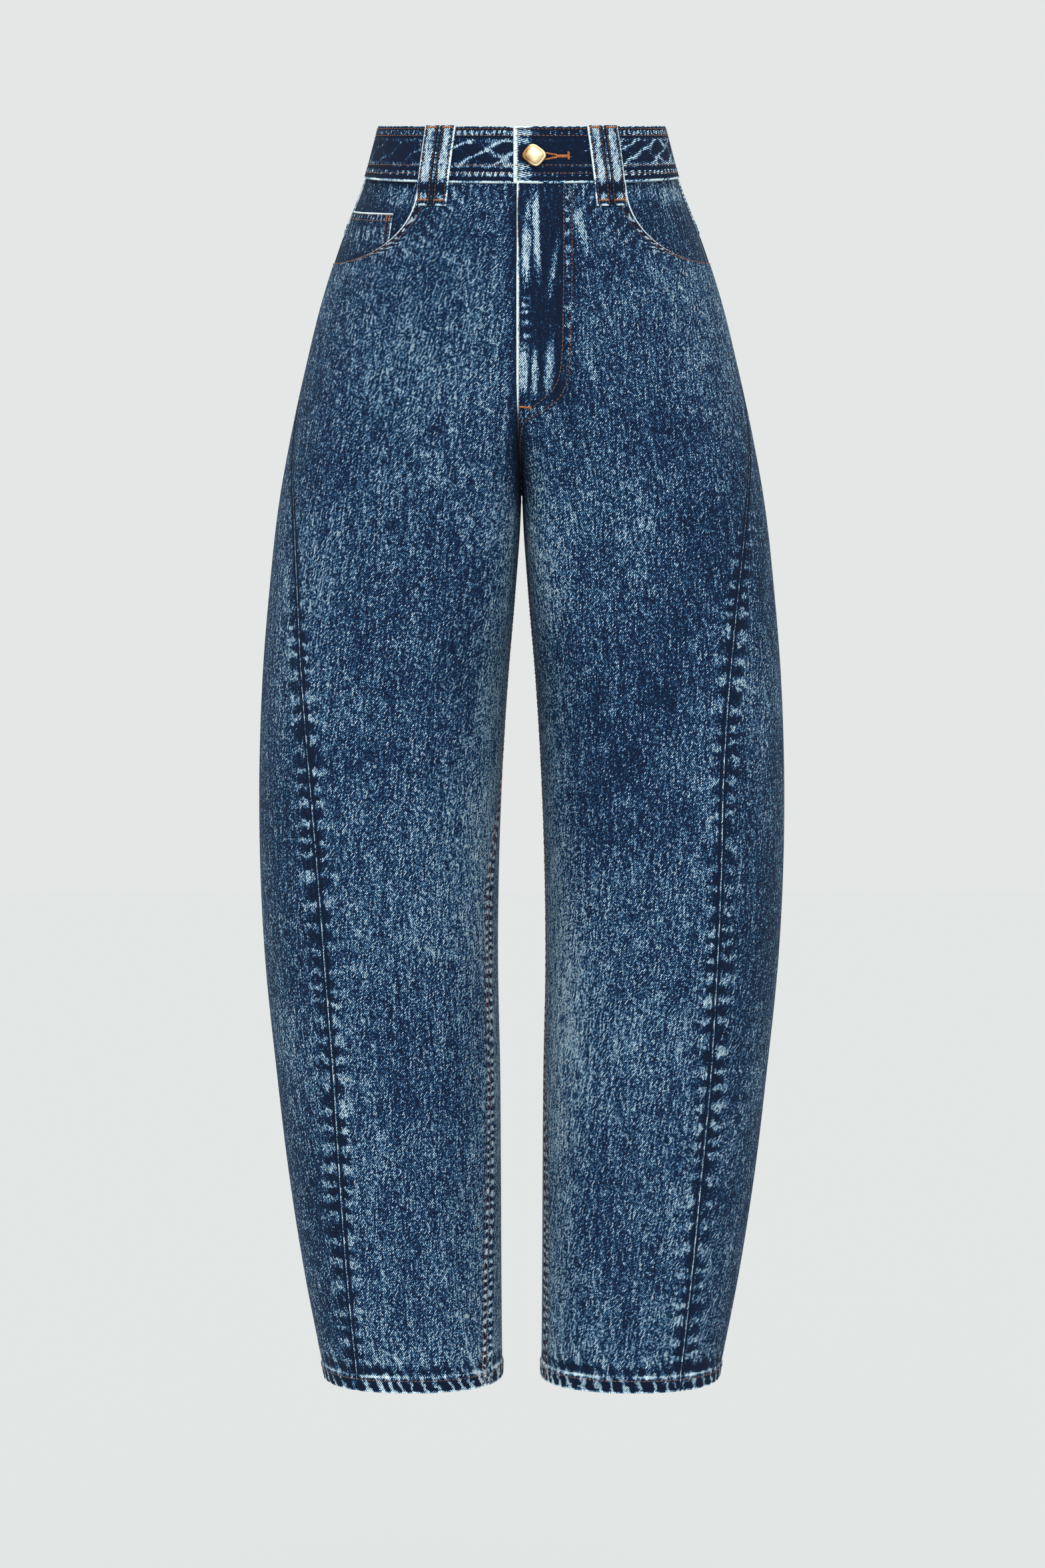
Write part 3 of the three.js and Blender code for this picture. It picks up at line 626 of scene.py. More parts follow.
def front_panel(side):
    name = f"denim_front_{SIDES[side]}"
    upper = np.linspace(PANEL_TOP, POCKET_END, MOUTH_ROWS)
    lower = np.linspace(POCKET_END, HEM + 30, 286)[1:]
    hem = HEM + 30 * (1 - close_stops(30, 0.5, 1.8, (False, True)))[1:]
    level_in = np.concatenate([upper, lower, hem])[:, None]
    s = close_stops(215, 0.5, 3.1)[None, :]
    gap = gap_turn(level_in)
    along = np.clip((PANEL_TOP - level_in) / (PANEL_TOP - POCKET_END), 0, 1)
    in_mouth = level_in > POCKET_END
    mouth_level, mouth_turn = mouth(side, along)
    end_level = np.where(in_mouth, mouth_level, level_in)
    end_turn = np.where(in_mouth, mouth_turn, outseam(side, level_in) - gap)
    start = np.where(level_in <= FORK, inseam(side, level_in) + inseam_gap_turn(side, level_in), 0)
    turn = start + (end_turn - start) * s
    level = level_in + (end_level - level_in) * s
    points, normals = on_side(side, level, turn)

    gaps = distances(points)
    x = side * points[..., 0]
    over = (1 - smoothstep(x - FLY_SHIFT, 0, FLY_FADE[0])) if side > 0 else 0
    over = over * (1 - smoothstep(level, GROOVE_TOP + FLY_FADE[1], GROOVE_TOP))
    lift = FLY_PROUD * over + hem_lift(level) + 0 * x
    below_mouth = smoothstep(level_in, POCKET_END + 6, POCKET_END - 4)
    gap_mouth = gaps["end"] + FAR * (along >= 1)
    gap_side = gaps["end"] + FAR * (1 - below_mouth)
    hem_run = -side * gaps["end"]
    gap_in = gaps["start"] + FAR * (level > FORK)
    layers = leg_puckers({"out": gap_side, "in": gap_in, "foot": gaps["foot"]}, level, hem_run,
                         (5.0, 3.8), LADDER_FROM[side], 1 + side)
    mouth_run = np.broadcast_to(gaps["top"][:, -1:], x.shape)
    low_part = smoothstep(mouth_run, 45, 70)
    layers.append((uneven(mouth_run, 10.5, 3),
                   1.2 * block(gap_mouth, 5.0, 2.6) + 0.8 * low_part * bell(gap_mouth, 14, 7),
                   0.6 * bell(gap_mouth, 4.8, 3.4) + 0.4 * low_part * bell(gap_mouth, 14, 5)))
    layers.append((uneven(side * x, 6.5, 5), 0.3 * bell(gaps["top"], 8, 9),
                   0.2 * bell(gaps["top"], 4, 6)))
    if side > 0:
        rows = smoothstep(level, -215, -190)
        layers.append((uneven(-level, 13, 2.5), 0.7 * rows * bell(x, 36, 2.2),
                       0.3 * rows * bell(x, 36, 2.6)))
    pucker = strongest(*layers)

    # the leg: darker at the side, painted shade where the leg turns away from the light; lighter low down
    # and at the hip
    wash_and_painted_light = -0.03 * smoothstep(x, 120, 190) + 0.05 * np.sin(level / 61.0 + side) * np.sin(x / 37.0)
    wash_and_painted_light = wash_and_painted_light + 0.03 * smoothstep(level, -480, -640) + 0.04 * bell(level, -170, 70)
    wash_and_painted_light = wash_and_painted_light - 0.05 * bell(level, -470, 130) * (side > 0)
    # lighter along the inner leg below the fork: painted light over the shade that the other leg casts
    # there
    wash_and_painted_light = wash_and_painted_light + 0.15 * smoothstep(turn, 60, 20) * smoothstep(level, FORK + 40, FORK - 40)
    # the pocket mouth: a dark border, a white folded edge and a fan of streaks below it
    wash_and_painted_light = wash_and_painted_light - 0.10 * bell(gap_mouth, 14, 12) * (along < 1) + hem_wash(gaps["foot"], hem_run)
    wash_and_painted_light = wash_and_painted_light - 0.12 * block(gap_mouth, 5.2, 3.4) + bell(gap_mouth, 0.2, 1.0)
    fan = np.sin(2 * np.pi * uneven(0.81 * x - 0.59 * level, 9.5, 2 + side))
    wash_and_painted_light = wash_and_painted_light + 0.2 * fan * bell(gap_mouth, 30, 17) * smoothstep(level, -150, -110) * (along < 1)
    # the side seam: a pale border a little away from it, painted sheen where the leg turns towards the
    # side, and a dark line beside it
    wash_and_painted_light = wash_and_painted_light + 0.03 * bell(gap_side, 24, 12) * smoothstep(level, -300, -420)
    wash_and_painted_light = wash_and_painted_light - 0.55 * bell(gap_side, 2.6, 1.0)
    if side > 0:
        inside_fly = (smoothstep(x, 36, 31) + 0.5 * smoothstep(x, 46, 40)) / 1.5
        inside_fly = inside_fly * smoothstep(level, -242, -232)
        bleached = sum(
            weight * block(x, middle + drift * (level - at) / tall, wide) * block(level, at, tall)
            for middle, drift, wide, at, tall, weight in FLY_STREAKS)
        ticks = smoothstep(np.sin(2 * np.pi * uneven(-level, 8.4, 1)), 0.1, 0.7)
        bleached = bleached + 0.8 * ticks * block(level, -163, 25) * block(x, 3.2, 3.4)
        wash_and_painted_light = wash_and_painted_light - 0.27 * inside_fly + np.minimum(bleached, 0.85)
    else:
        # a dark band beside the lapping fly: painted shadow of the fly's edge on the right front
        wash_and_painted_light = wash_and_painted_light - 0.24 * bell(x, 4, 6) * smoothstep(level, -330, -280)
    # darker at the centre above the fork: painted shade in the groove between the legs
    wash_and_painted_light = wash_and_painted_light - 0.25 * bell(x, 0, 5) * smoothstep(level, -200, -300) * (level > FORK)
    worn = gap_mouth
    if side > 0:
        fly_edge = gaps["start"] + FAR * smoothstep(level, GROOVE_TOP - 82, FORK - 4)
        worn = np.minimum(worn, 0.7 * fly_edge)
        wash_and_painted_light = wash_and_painted_light + bell(fly_edge, 0.2, 1.3)
    worn = np.minimum(worn, gaps["foot"] + 0.5)
    dashed = 0.5 + 0.5 * np.sin(level / 1.9) * np.sin(level / 5.1)
    edge = np.minimum(worn, gap_side + 0.4 + 0.9 * dashed)

    lies_flat = (level > FORK) & ((side > 0) | (level < GROOVE_TOP))
    dip = seam_dip(gap_side, gaps["top"], gaps["start"] + FAR * lies_flat)
    weave = straight_grain(side, level, turn, 90, 3 + side)
    bulges = {"top": SEAMED, "end": 0.35, "foot": FOLDED, "start": SEAMED if side < 0 else 0.35}
    return cloth(name, f"front_{SIDES[side]}", points, normals, lift + dip, lift + dip - CLOTH,
                 pucker, wash_and_painted_light, edge, weave, bulges)


for side in SIDES:
    front_panel(side)


# %% [markdown]
# ## Back panels and yokes
# The back of each leg wraps forward to the side seam. Above it lies the yoke, a shaped strip that
# does the work of darts: its seam falls towards the centre back in a shallow V. Both are made as the
# fronts are. Nobody sees the back here, so it has the same wash and the folds such seats have.

# %% Back panels and yokes
def yoke_level(turn):
    return YOKE_SIDE + (YOKE_CENTRE - YOKE_SIDE) * ((turn - 180) / 180)


def back_panel(side):
    name = f"denim_back_{SIDES[side]}"
    plain = np.concatenate([np.linspace(YOKE_BOTTOM, HEM + 30, 288),
                            HEM + 30 * (1 - close_stops(30, 0.5, 1.8, (False, True)))[1:]])[:, None]
    s = close_stops(320, 0.5, 3.6)[None, :]
    gap = gap_turn(plain)
    start = outseam(side, plain) + gap
    end = np.where(plain <= FORK, 360 + inseam(side, plain) - inseam_gap_turn(side, plain), 360)
    turn = start + (end - start) * s
    followed = 1 - smoothstep(plain, YOKE_BOTTOM, GROOVE_TOP)
    level = plain + (yoke_level(np.maximum(turn, 180)) - YOKE_SIDE) * followed
    points, normals = on_side(side, level, turn)
    gaps = distances(points)
    gap_in = gaps["end"] + FAR * (level > FORK)
    hem_run = side * gaps["start"]
    layers = leg_puckers({"out": gaps["start"], "in": gap_in, "foot": gaps["foot"]}, level, hem_run,
                         (5.5, 5.0), LADDER_FROM[side], 1.6 + side)
    seat = (uneven(-level, 8.0, 6), 0.6 * bell(gaps["end"], 4, 4) * (level > FORK),
            0.45 * bell(gaps["end"], 4, 5) * (level > FORK))
    under_yoke = (uneven(gaps["start"], 8.5, 7), 0.6 * bell(gaps["top"], 4, 4),
                  0.4 * bell(gaps["top"], 4, 5))
    pucker = strongest(*layers, seat, under_yoke)
    x = side * points[..., 0]
    # darker at the side, painted shade where the leg turns away from the light; lighter along the inner
    # leg, painted light over the shade between the legs; and lighter where the seat is sat on
    wash_and_painted_light = -0.03 * smoothstep(x, 120, 180) + 0.20 * smoothstep(turn, 322, 345)
    wash_and_painted_light = wash_and_painted_light + 0.12 * bell(level, -205, 60) * bell(turn, 280, 45)
    wash_and_painted_light = wash_and_painted_light + 0.05 * np.sin(level / 57.0 + side) * np.sin(turn / 13.0)
    wash_and_painted_light = wash_and_painted_light + hem_wash(gaps["foot"], hem_run)
    wash_and_painted_light = wash_and_painted_light - 0.45 * bell(gaps["start"], 0.4, 1.2)
    edge = np.minimum(gaps["foot"] + 0.5, gaps["top"] + 0.4)
    gap_centre = gaps["end"] + FAR * (level < GROOVE_TOP)
    lift = hem_lift(level) + seam_dip(gaps["start"], gap_in, gaps["top"], gap_centre)
    weave = straight_grain(side, level, turn, 250, 7 + side)
    bulges = {"top": SEAMED, "end": SEAMED, "foot": FOLDED, "start": SEAMED}
    return cloth(name, f"back_{SIDES[side]}", points, normals, lift, lift - CLOTH, pucker, wash_and_painted_light, edge,
                 weave, bulges)


def yoke(side):
    name = f"denim_yoke_{SIDES[side]}"
    s = close_stops(230, 0.5, 3.2)[None, :]
    t = close_stops(60, 0.5, 2.6)[:, None]
    start = 180 + gap_turn(PANEL_TOP)
    turn = start + (360 - start) * s
    level = PANEL_TOP + (yoke_level(turn) - PANEL_TOP) * t
    points, normals = on_side(side, level, np.broadcast_to(turn, level.shape))
    gaps = distances(points)
    over_seam = (uneven(gaps["start"], 7.5, 7.4), 0.75 * bell(gaps["foot"], 4, 4),
                 0.5 * bell(gaps["foot"], 4, 5))
    at_centre = (uneven(-level, 8, 6.2), 0.5 * bell(gaps["end"], 4, 4), 0.4 * bell(gaps["end"], 4, 5))
    pucker = strongest(over_seam, at_centre)
    wash_and_painted_light = -0.05 + 0.12 * bell(gaps["top"], 14, 12)
    edge = np.minimum(gaps["foot"], gaps["start"] + 0.9)
    lift = 0.5 * smoothstep(gaps["foot"], 12, 8) + seam_dip(gaps["start"], gaps["end"], gaps["top"])
    weave = straight_grain(side, level, turn, 250, 11 + side)
    bulges = {"top": SEAMED, "end": SEAMED, "foot": SEAMED, "start": SEAMED}
    return cloth(name, f"yoke_{SIDES[side]}", points, normals, lift, -CLOTH + 0 * lift, pucker, wash_and_painted_light, edge,
                 weave, bulges)


for side in SIDES:
    back_panel(side)
    yoke(side)


# %% [markdown]
# ## Pocket facings and the coin pocket
# Behind each pocket mouth a piece of the same denim is sewn to the pocket bag, and the small coin
# pocket is sewn onto the right one. Both lie a layer behind the front panel, so its edge casts a
# thin shadow on them.

# %% Pocket facings and the coin pocket
COIN_INNER = 104
COIN_TOP = -69
COIN_FROM = 0.35
COIN_CLEAR = 1.2
COIN_THICK = 1.4
COIN_HEM = 7.6


def facing(side):
    name = f"denim_pocket_facing_{SIDES[side]}"
    t = close_stops(120, 0.8, 2.4)[:, None]
    s = close_stops(80, 0.8, 2.4)[None, :]
    first_level, first_turn = mouth(side, t * 0.93, MOUTH_INNER - 8, MOUTH_DEPTH + 8)
    end = PANEL_TOP + (first_level - PANEL_TOP) * t
    level = first_level + (end - first_level) * s
    turn = first_turn + (180 - gap_turn(level) - first_turn) * s
    points, normals = on_side(side, level, turn)
    gaps = distances(points)
    pucker = strongest((uneven(side * points[..., 0], 9, 5), 0.35 * bell(gaps["top"], 6, 8), 0 * level),
                       (0 * level, 0 * level, 0 * level))
    wash_and_painted_light = -0.19 + 0.26 * bell(level, -55, 8) * (0.6 + 0.4 * np.sin(points[..., 0] / 9))
    wash_and_painted_light = wash_and_painted_light + 0.10 * (side > 0)
    weave = straight_grain(side, level, turn, 90, 15 + side)
    lift = FACING_OUT + 0 * level
    bulges = dict.fromkeys(BORDERS, 0.3)
    return cloth(name, f"pocket_facing_{SIDES[side]}", points, normals, lift, lift - CLOTH, pucker, wash_and_painted_light,
                 gaps["end"] + 0.9, weave, bulges)


def coin_pocket():
    side = -1
    s = close_stops(60, 0.5, 1.9)[None, :]
    t = close_stops(50, 0.5, 1.9)[:, None]
    first = turn_at(side, COIN_TOP, COIN_INNER)
    last = 180 - 2 * gap_turn(COIN_TOP)
    along = COIN_FROM + (1 - COIN_FROM) * s
    foot_level, foot_turn = mouth(side, along, MOUTH_INNER + COIN_CLEAR, MOUTH_DEPTH - COIN_CLEAR)
    turn = first + (last - first) * s
    level = COIN_TOP + (foot_level - COIN_TOP) * t
    points, normals = on_side(side, level, turn + (np.minimum(foot_turn, last) - turn) * t)
    gaps = distances(points)
    hem = (uneven(gaps["start"], 4.6, 2), bell(gaps["top"], 3.9, 2.6), 0.6 * bell(gaps["top"], 3.9, 3.4))
    ribs = (uneven(gaps["start"], 8.0, 4), 0.5 * bell(gaps["top"], 16, 10), 0.2 * bell(gaps["top"], 16, 12))
    inn = FACING_OUT + SEAM_GAP
    lift = inn + COIN_THICK - 0.5 * smoothstep(gaps["top"], COIN_HEM, COIN_HEM + 1.2)
    wash_and_painted_light = -0.22 + 0.16 * bell(gaps["top"], 22, 14) + 0.9 * bell(gaps["top"], 0.2, 0.9)
    edge = np.minimum(gaps["top"], gaps["start"] + 0.7)
    weave = straight_grain(side, level, turn + 0 * level, 90, 19)
    return cloth("denim_coin_pocket", "coin_pocket", points, normals, lift, inn + 0 * lift,
                 strongest(hem, ribs), wash_and_painted_light, edge, weave, dict.fromkeys(BORDERS, 0.3))


for side in SIDES:
    facing(side)
coin_pocket()

# %% [markdown]
# ## Waistband
# A straight strip folded over the top edge and sewn with two pairs of rows. Its left end laps over
# the right one, which steps inwards under it. The keyhole slit is left open in the grid: the rows on
# both sides of it spread round the button's shank.
# A waistband is wrung and folded many times in the wash, and its creases cross. The bleach bites
# along them, so the band is dark with a broken lattice of pale lines, and each pair of stitch rows
# has a row of short pale ticks between them. Each half is cut off the grain, so the twill's lines run
# steeply on the right half and almost level on the left one.

# %% Waistband
LAP_END = -6
UNDERLAP = {"end": 24, "drop": 2.9, "slope": 3}
BAND_ROWS = (2.0, 7.8, 32.4, 39.2)  # the stitch rows' depths below the top edge
BAND_BRIGHT = {1: 118, -1: 55}  # where on each half the wash bit most, in mm from its front end
BAND_GRAIN = {1: 43, -1: -64}  # degrees that each half is cut off the grain
BUTTON = {"x": 9.6, "level": -22, "shank": 2.2, "eye": 2.8}
SLIT = {"half": 0.6, "length": 26}


def angle_at(level, x, near_back=False):
    angle = np.degrees(np.arcsin(np.clip(x / ring_at(level)["outer"], -1, 1)))
    return 180 - angle if near_back else angle


def band_half(side, end_x, columns, hole=None, rows=None):
    """Half the waistband, from the centre back to x = end_x in front."""
    name = f"denim_waistband_{SIDES[side]}"
    level = -BAND_DEPTH * rows
    start = side * (180 - np.degrees(SEAM_GAP / 2 / ring_at(level)["outer"]))
    angle = start + (angle_at(level, end_x) - start) * columns
    if hole:
        from_shank = np.abs(ring_at(level)["outer"] * np.sin(np.radians(angle)) - BUTTON["x"])
        spread = np.sqrt(np.maximum(BUTTON["eye"] ** 2 - from_shank**2, 0)) - SLIT["half"]
        near = np.abs(angle) < 45
        away = level - BUTTON["level"]
        level = level + np.sign(away) * np.maximum(spread, 0) * near * np.exp(-((away / 6) ** 2))
        angle = start + (angle_at(level, end_x) - start) * columns
    points, normals = on_body(level, angle)
    gaps = distances(points)
    depth = -level
    if side > 0:
        drop = np.zeros_like(depth)
    else:
        x = points[..., 0] * np.where(np.abs(angle) < 90, 1, -1000)
        drop = UNDERLAP["drop"] * smoothstep(x, LAP_END - SEAM_GAP - UNDERLAP["slope"], LAP_END - SEAM_GAP)
    run = gaps["end"]
    first, second, third, fourth = BAND_ROWS
    x_out = side * run + (LAP_END if side > 0 else UNDERLAP["end"])
    patchy = np.clip(0.72 + 0.45 * np.cos((run - BAND_BRIGHT[side]) / 30.0), 0.35, 1)
    between = {"upper": (first + second) / 2, "lower": (third + fourth) / 2, "lens": (second + third) / 2}
    near = {key: np.abs(depth - at) for key, at in between.items()}
    ticks = {key: smoothstep(near[key], 2.9, 2.0)
             * smoothstep(np.sin(2 * np.pi * uneven(run, pitch, seed)), -0.5 if side < 0 else 0.0, 0.5)
             for key, pitch, seed in (("upper", 4.6, 1 + side), ("lower", 5.8, 4 + side))}
    # two sets of crossing creases, bent a little, 28 mm apart
    bend = 2.6 * np.sin(run / 7.3 + depth / 4.1 + side) + 1.6 * np.sin(run / 3.1 - depth / 5.2)
    rising = bell(np.sin(np.pi * (x_out + bend + 25.7 + 2.0 * (depth - 16)) / 28), 0, 0.31)
    falling = bell(np.sin(np.pi * (x_out - bend + 25.7 - 1.43 * (depth - 16)) / 28), 0, 0.31)
    falling = falling * (0.62 + 0.38 * np.sin(run / 11.0 + 1.3 * side))
    buttoned = smoothstep(run, 50, 62) if side > 0 else 1
    lens = np.maximum(rising, 0.85 * falling) * patchy * smoothstep(near["lens"], 11.5, 10) * buttoned
    ridges = 0.8 * bell(depth, second + 2.3, 1.1) + bell(depth, third - 2.9, 1.9)
    broken = 0.72 + 0.28 * np.sin(run / 5.3 + side) * np.sin(run / 8.1)
    pale = np.maximum(ticks["upper"], ticks["lower"]) * (0.4 + 0.6 * patchy)
    pale = np.maximum(np.maximum(pale, lens), ridges * broken * (0.3 + 0.7 * patchy))
    if side > 0:
        pale = pale * (0.66 + 0.34 * smoothstep(run, 45, 60))
        corner = smoothstep(gaps["end"] + 0.5 * np.abs(near["lens"] - 15), 20, 11)
        corner = corner * smoothstep(near["lens"], 5, 9)
        pale = np.maximum(pale, 0.8 * corner)
        pale = np.maximum(pale, 0.85 * smoothstep(gaps["end"], 3.9, 2.8))
    wash_and_painted_light = -0.36 + 0.98 * np.minimum(pale, 1)
    wash_and_painted_light = wash_and_painted_light + (0.6 + 0.4 * np.sin(run / 6.1)) * bell(gaps["foot"], 0, 0.8)
    on_rows = sum(bell(depth, at, 0.9) for at in BAND_ROWS)
    wash_and_painted_light = wash_and_painted_light - 0.5 * on_rows * (gaps["end"] > 3) + 0.2 * bell(gaps["top"], 0, 0.9)
    edge = np.minimum(gaps["foot"], gaps["top"] + 0.7)
    if side > 0:
        edge = np.minimum(edge, gaps["end"] * 0.6)
    upper = (uneven(run, 4.6, 1 + side), 0.5 * patchy * bell(depth, between["upper"], 2.2), 0 * depth)
    lower = (uneven(run, 5.8, 4 + side), 0.5 * patchy * bell(depth, between["lower"], 2.4), 0 * depth)
    roll = -0.5 * bell(gaps["top"], 0, 1.2) + seam_dip(gaps["start"])
    lift = roll - 0.28 * on_rows - drop
    u = -side * gaps["start"]
    cosine, sine = np.cos(np.radians(BAND_GRAIN[side])), np.sin(np.radians(BAND_GRAIN[side]))
    weave = np.stack([u * cosine + depth * sine, u * sine - depth * cosine,
                      np.full(u.shape, 211.0 + side * 40)], -1)
    bulges = {"top": 0.7, "end": 0.7 if side > 0 else 0.3, "foot": 0.5, "start": SEAMED}
    return cloth(name, f"waistband_{SIDES[side]}", points, normals, BAND_OUT + lift, -BAND_IN - drop,
                 strongest(upper, lower), wash_and_painted_light, edge, weave, bulges, relief=0.3, hole=hole)


half_girth = 345.0  # about, to space the columns
plain_rows = close_stops(BAND_DEPTH, 0.5, 1.5)
slit_level = -BUTTON["level"] / BAND_DEPTH
half_slit = SLIT["half"] / BAND_DEPTH
plain_rows = np.sort(np.append(plain_rows[np.abs(plain_rows - slit_level) > 0.03],
                               [slit_level - half_slit, slit_level + half_slit]))[:, None]
first_row = int(np.argmin(np.abs(plain_rows[:, 0] - slit_level + half_slit)))
plain_columns = close_stops(half_girth, 0.5, 1.75)
to_slit = (BUTTON["x"] - BUTTON["eye"] - LAP_END, BUTTON["x"] + SLIT["length"] - LAP_END)
slit_columns = [1 - to_slit[1] / half_girth, 1 - to_slit[0] / half_girth]
c0, c1 = [int(np.argmin(np.abs(plain_columns - c))) for c in slit_columns]
band_half(1, LAP_END, plain_columns[None, :], (first_row, first_row + 1, c0, c1), plain_rows)
band_half(-1, UNDERLAP["end"], plain_columns[None, :], None, close_stops(BAND_DEPTH, 0.5, 1.5)[:, None])

# %% [markdown]
# ## Belt loops
# Strips folded in three and sewn down along both edges, then tacked to the band and to the panel
# below it. They stand in pairs. Rubbing bleaches a loop more than anything else on a pair of jeans.

# %% Belt loops
LOOP = {"width": 11.2, "pitch": 12.4, "length": 62, "thick": 1.7, "bow": 0.9, "foot": 8}
LOOP_PAIRS = [("front_left", 63.4, 71.3, False), ("front_right", -63.9, -71.8, False), ("back", 0, 0, True)]


def belt_loop(pair, letter, offset):
    where, top_x, bottom_x, is_back = pair
    t = close_stops(LOOP["length"], 0.5, 1.5)[:, None]
    s = close_stops(LOOP["width"], 0.4, 1.1)[None, :]
    level = -LOOP["length"] * t + 0 * s
    x = top_x + (bottom_x - top_x) * t + offset + LOOP["width"] * (s - 0.5)
    points, normals = on_body(level, angle_at(level, x, is_back))
    gaps = distances(points)
    over_panel = smoothstep(level, -BAND_DEPTH, -LOOP["length"] + LOOP["foot"])
    lift = SEAM_GAP + BAND_OUT * (1 - over_panel) + LOOP["bow"] * np.sin(np.pi * t)
    near = np.minimum(gaps["start"], gaps["end"])
    cushion = -0.35 * bell(near, 2.0, 0.8) - 0.5 * bell(near, 0, 0.7)
    beat = uneven(-level, 5.4, 3 + offset)
    pucker = strongest((beat, 0.35 * bell(near, 1.6, 1.8), 0.35 * bell(near, 1.6, 1.8)), (0 * level,) * 3)
    dark = bell(level, -48, 4.5) + 0.7 * bell(level, -60, 2)
    inner_gap = gaps["start" if offset > 0 else "end"]
    wash_and_painted_light = 0.44 - 0.85 * dark - 0.85 * bell(near, 2.0, 0.9) + 0.10 * np.sin(level / 7.0 + offset)
    # darker along the edge that faces the other loop of the pair: painted shadow in the narrow gap between
    # them
    wash_and_painted_light = wash_and_painted_light - 0.75 * bell(inner_gap, 0.9, 1.3)
    edge = np.minimum(near + 0.5 + 0.7 * (inner_gap < 2), gaps["foot"] + 0.2)
    weave = np.stack(np.broadcast_arrays(x, level, 300.0 + 11 * offset + top_x), -1)
    name = f"belt_loop_{where}_{letter}"
    return cloth(f"denim_{name}", name, points, normals, lift + LOOP["thick"] + cushion, lift + 0 * level,
                 pucker, wash_and_painted_light, edge, weave, dict.fromkeys(BORDERS, 0.35), relief=0.15)


for pair in LOOP_PAIRS:
    for letter, sign in (("a", -1), ("b", 1)):
        belt_loop(pair, letter, sign * LOOP["pitch"] / 2)


# %% [markdown]
# ## Sewing thread
# Topstitching is thick cotton thread in a rust brown. Each stitch is a short spindle that arches over
# the cloth and dives in at both ends. Thousands of them are laid along paths in one go, so a stitch
# has only a few dozen faces. The paths are lines at a chosen distance from a piece's border.

# %% Stitches
def border_line(piece, border, gap):
    """The line on a piece's outer grid that lies gap from one border, with the way out along it."""
    points, normals = PIECES[piece]["outer"], PIECES[piece]["normals"]
    if border in ("top", "foot"):
        points, normals = points.swapaxes(0, 1), normals.swapaxes(0, 1)
    if border in ("end", "foot"):
        points, normals = points[:, ::-1], normals[:, ::-1]
    steps = np.linalg.norm(np.diff(points, axis=1), axis=-1)
    run = np.concatenate([np.zeros((len(steps), 1)), np.cumsum(steps, 1)], 1)
    i = np.clip((run < gap).sum(1) - 1, 0, run.shape[1] - 2)
    rows = np.arange(len(run))
    share = ((gap - run[rows, i]) / (run[rows, i + 1] - run[rows, i]))[:, None]
    path = points[rows, i] * (1 - share) + points[rows, i + 1] * share
    way = unit(normals[rows, i] * (1 - share) + normals[rows, i + 1] * share)
    return path, way


def run_along(path):
    """The length along a path up to each of its points."""
    return np.concatenate([[0], np.cumsum(np.linalg.norm(np.diff(path, axis=0), axis=-1))])


def at_length(values, run, where):
    """A path's points, or its ways out, at chosen lengths along it."""
    return np.stack([np.interp(where, run, values[:, k]) for k in range(3)], -1)


def threads(a, b, out, radius=0.36, arch=0.20):
    """A short spindle from each point a to its b: three rings of six points on an arch, two tips."""
    count = len(a)
    side = unit(np.cross(out, b - a))
    rings = []
    for share, size, height in ((0.14, 0.8, 0.02), (0.5, 1.0, arch), (0.86, 0.8, 0.02)):
        middle = a + (b - a) * share
        turns = np.radians(np.arange(6) * 60)[None, :, None]
        rings.append((middle + out * height)[:, None] + radius * size * (
            np.cos(turns) * side[:, None] + np.sin(turns) * out[:, None]))
    points = np.concatenate([(a - out * 0.25)[:, None], *rings, (b - out * 0.25)[:, None]], 1)
    ring = np.arange(6)
    following = np.roll(ring, -1)
    quads = np.concatenate([np.stack([1 + 6 * k + ring, 1 + 6 * k + following,
                                      7 + 6 * k + following, 7 + 6 * k + ring], -1) for k in range(2)])
    ends = np.concatenate([np.stack([0 * ring, 1 + following, 1 + ring], -1),
                           np.stack([0 * ring + 19, 13 + ring, 13 + following], -1)])
    first_point = (20 * np.arange(count))[:, None, None]
    return points.reshape(-1, 3), (quads + first_point).reshape(-1, 4), (ends + first_point).reshape(-1, 3)


def spindles(path, way, length=2.7, gap=0.75, **thread):
    """Running stitches along a path, as many as fit, spread evenly."""
    run = run_along(path)
    count = max(1, int(run[-1] // (length + gap)))
    first = (run[-1] - count * (length + gap) + gap) / 2 + (length + gap) * np.arange(count)
    out = unit(at_length(way, run, first + length / 2))
    return threads(at_length(path, run, first), at_length(path, run, first + length), out, **thread)


def satin(path, way, width=1.5, pitch=0.5, lift=0.25):
    """A bar tack: threads side by side across a line, so close that they hide the cloth."""
    run = run_along(path)
    where = np.arange(0, run[-1], pitch)
    middle, out = at_length(path, run, where), unit(at_length(way, run, where))
    along = unit(at_length(path, run, where + 0.3) - at_length(path, run, where - 0.3))
    half = np.cross(out, along) * width / 2
    lean = along * 0.2
    return threads(middle + half + lean + out * lift, middle - half - lean + out * lift, out, radius=0.36)


def sewn(name, made):
    """One object from many runs of stitches."""
    offset, points, quads, ends = 0, [], [], []
    for p, q, e in made:
        points.append(p)
        quads.append(q + offset)
        ends.append(e + offset)
        offset += len(p)
    points, quads, ends = np.concatenate(points), np.concatenate(quads), np.concatenate(ends)
    corner = points[quads[:, :3]]
    volume = np.einsum("ij,ij->", corner[:, 0] - points[0], np.cross(corner[:, 1] - points[0],
                                                                      corner[:, 2] - points[0]))
    if volume < 0:
        quads, ends = quads[:, ::-1], ends[:, ::-1]
    obj = new_object(name, points, [quads, ends], {})
    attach(obj, "root")
    print(f"{name}: {len(points) // 20} stitches, {len(quads) * 2 + len(ends)} triangles")
    return obj


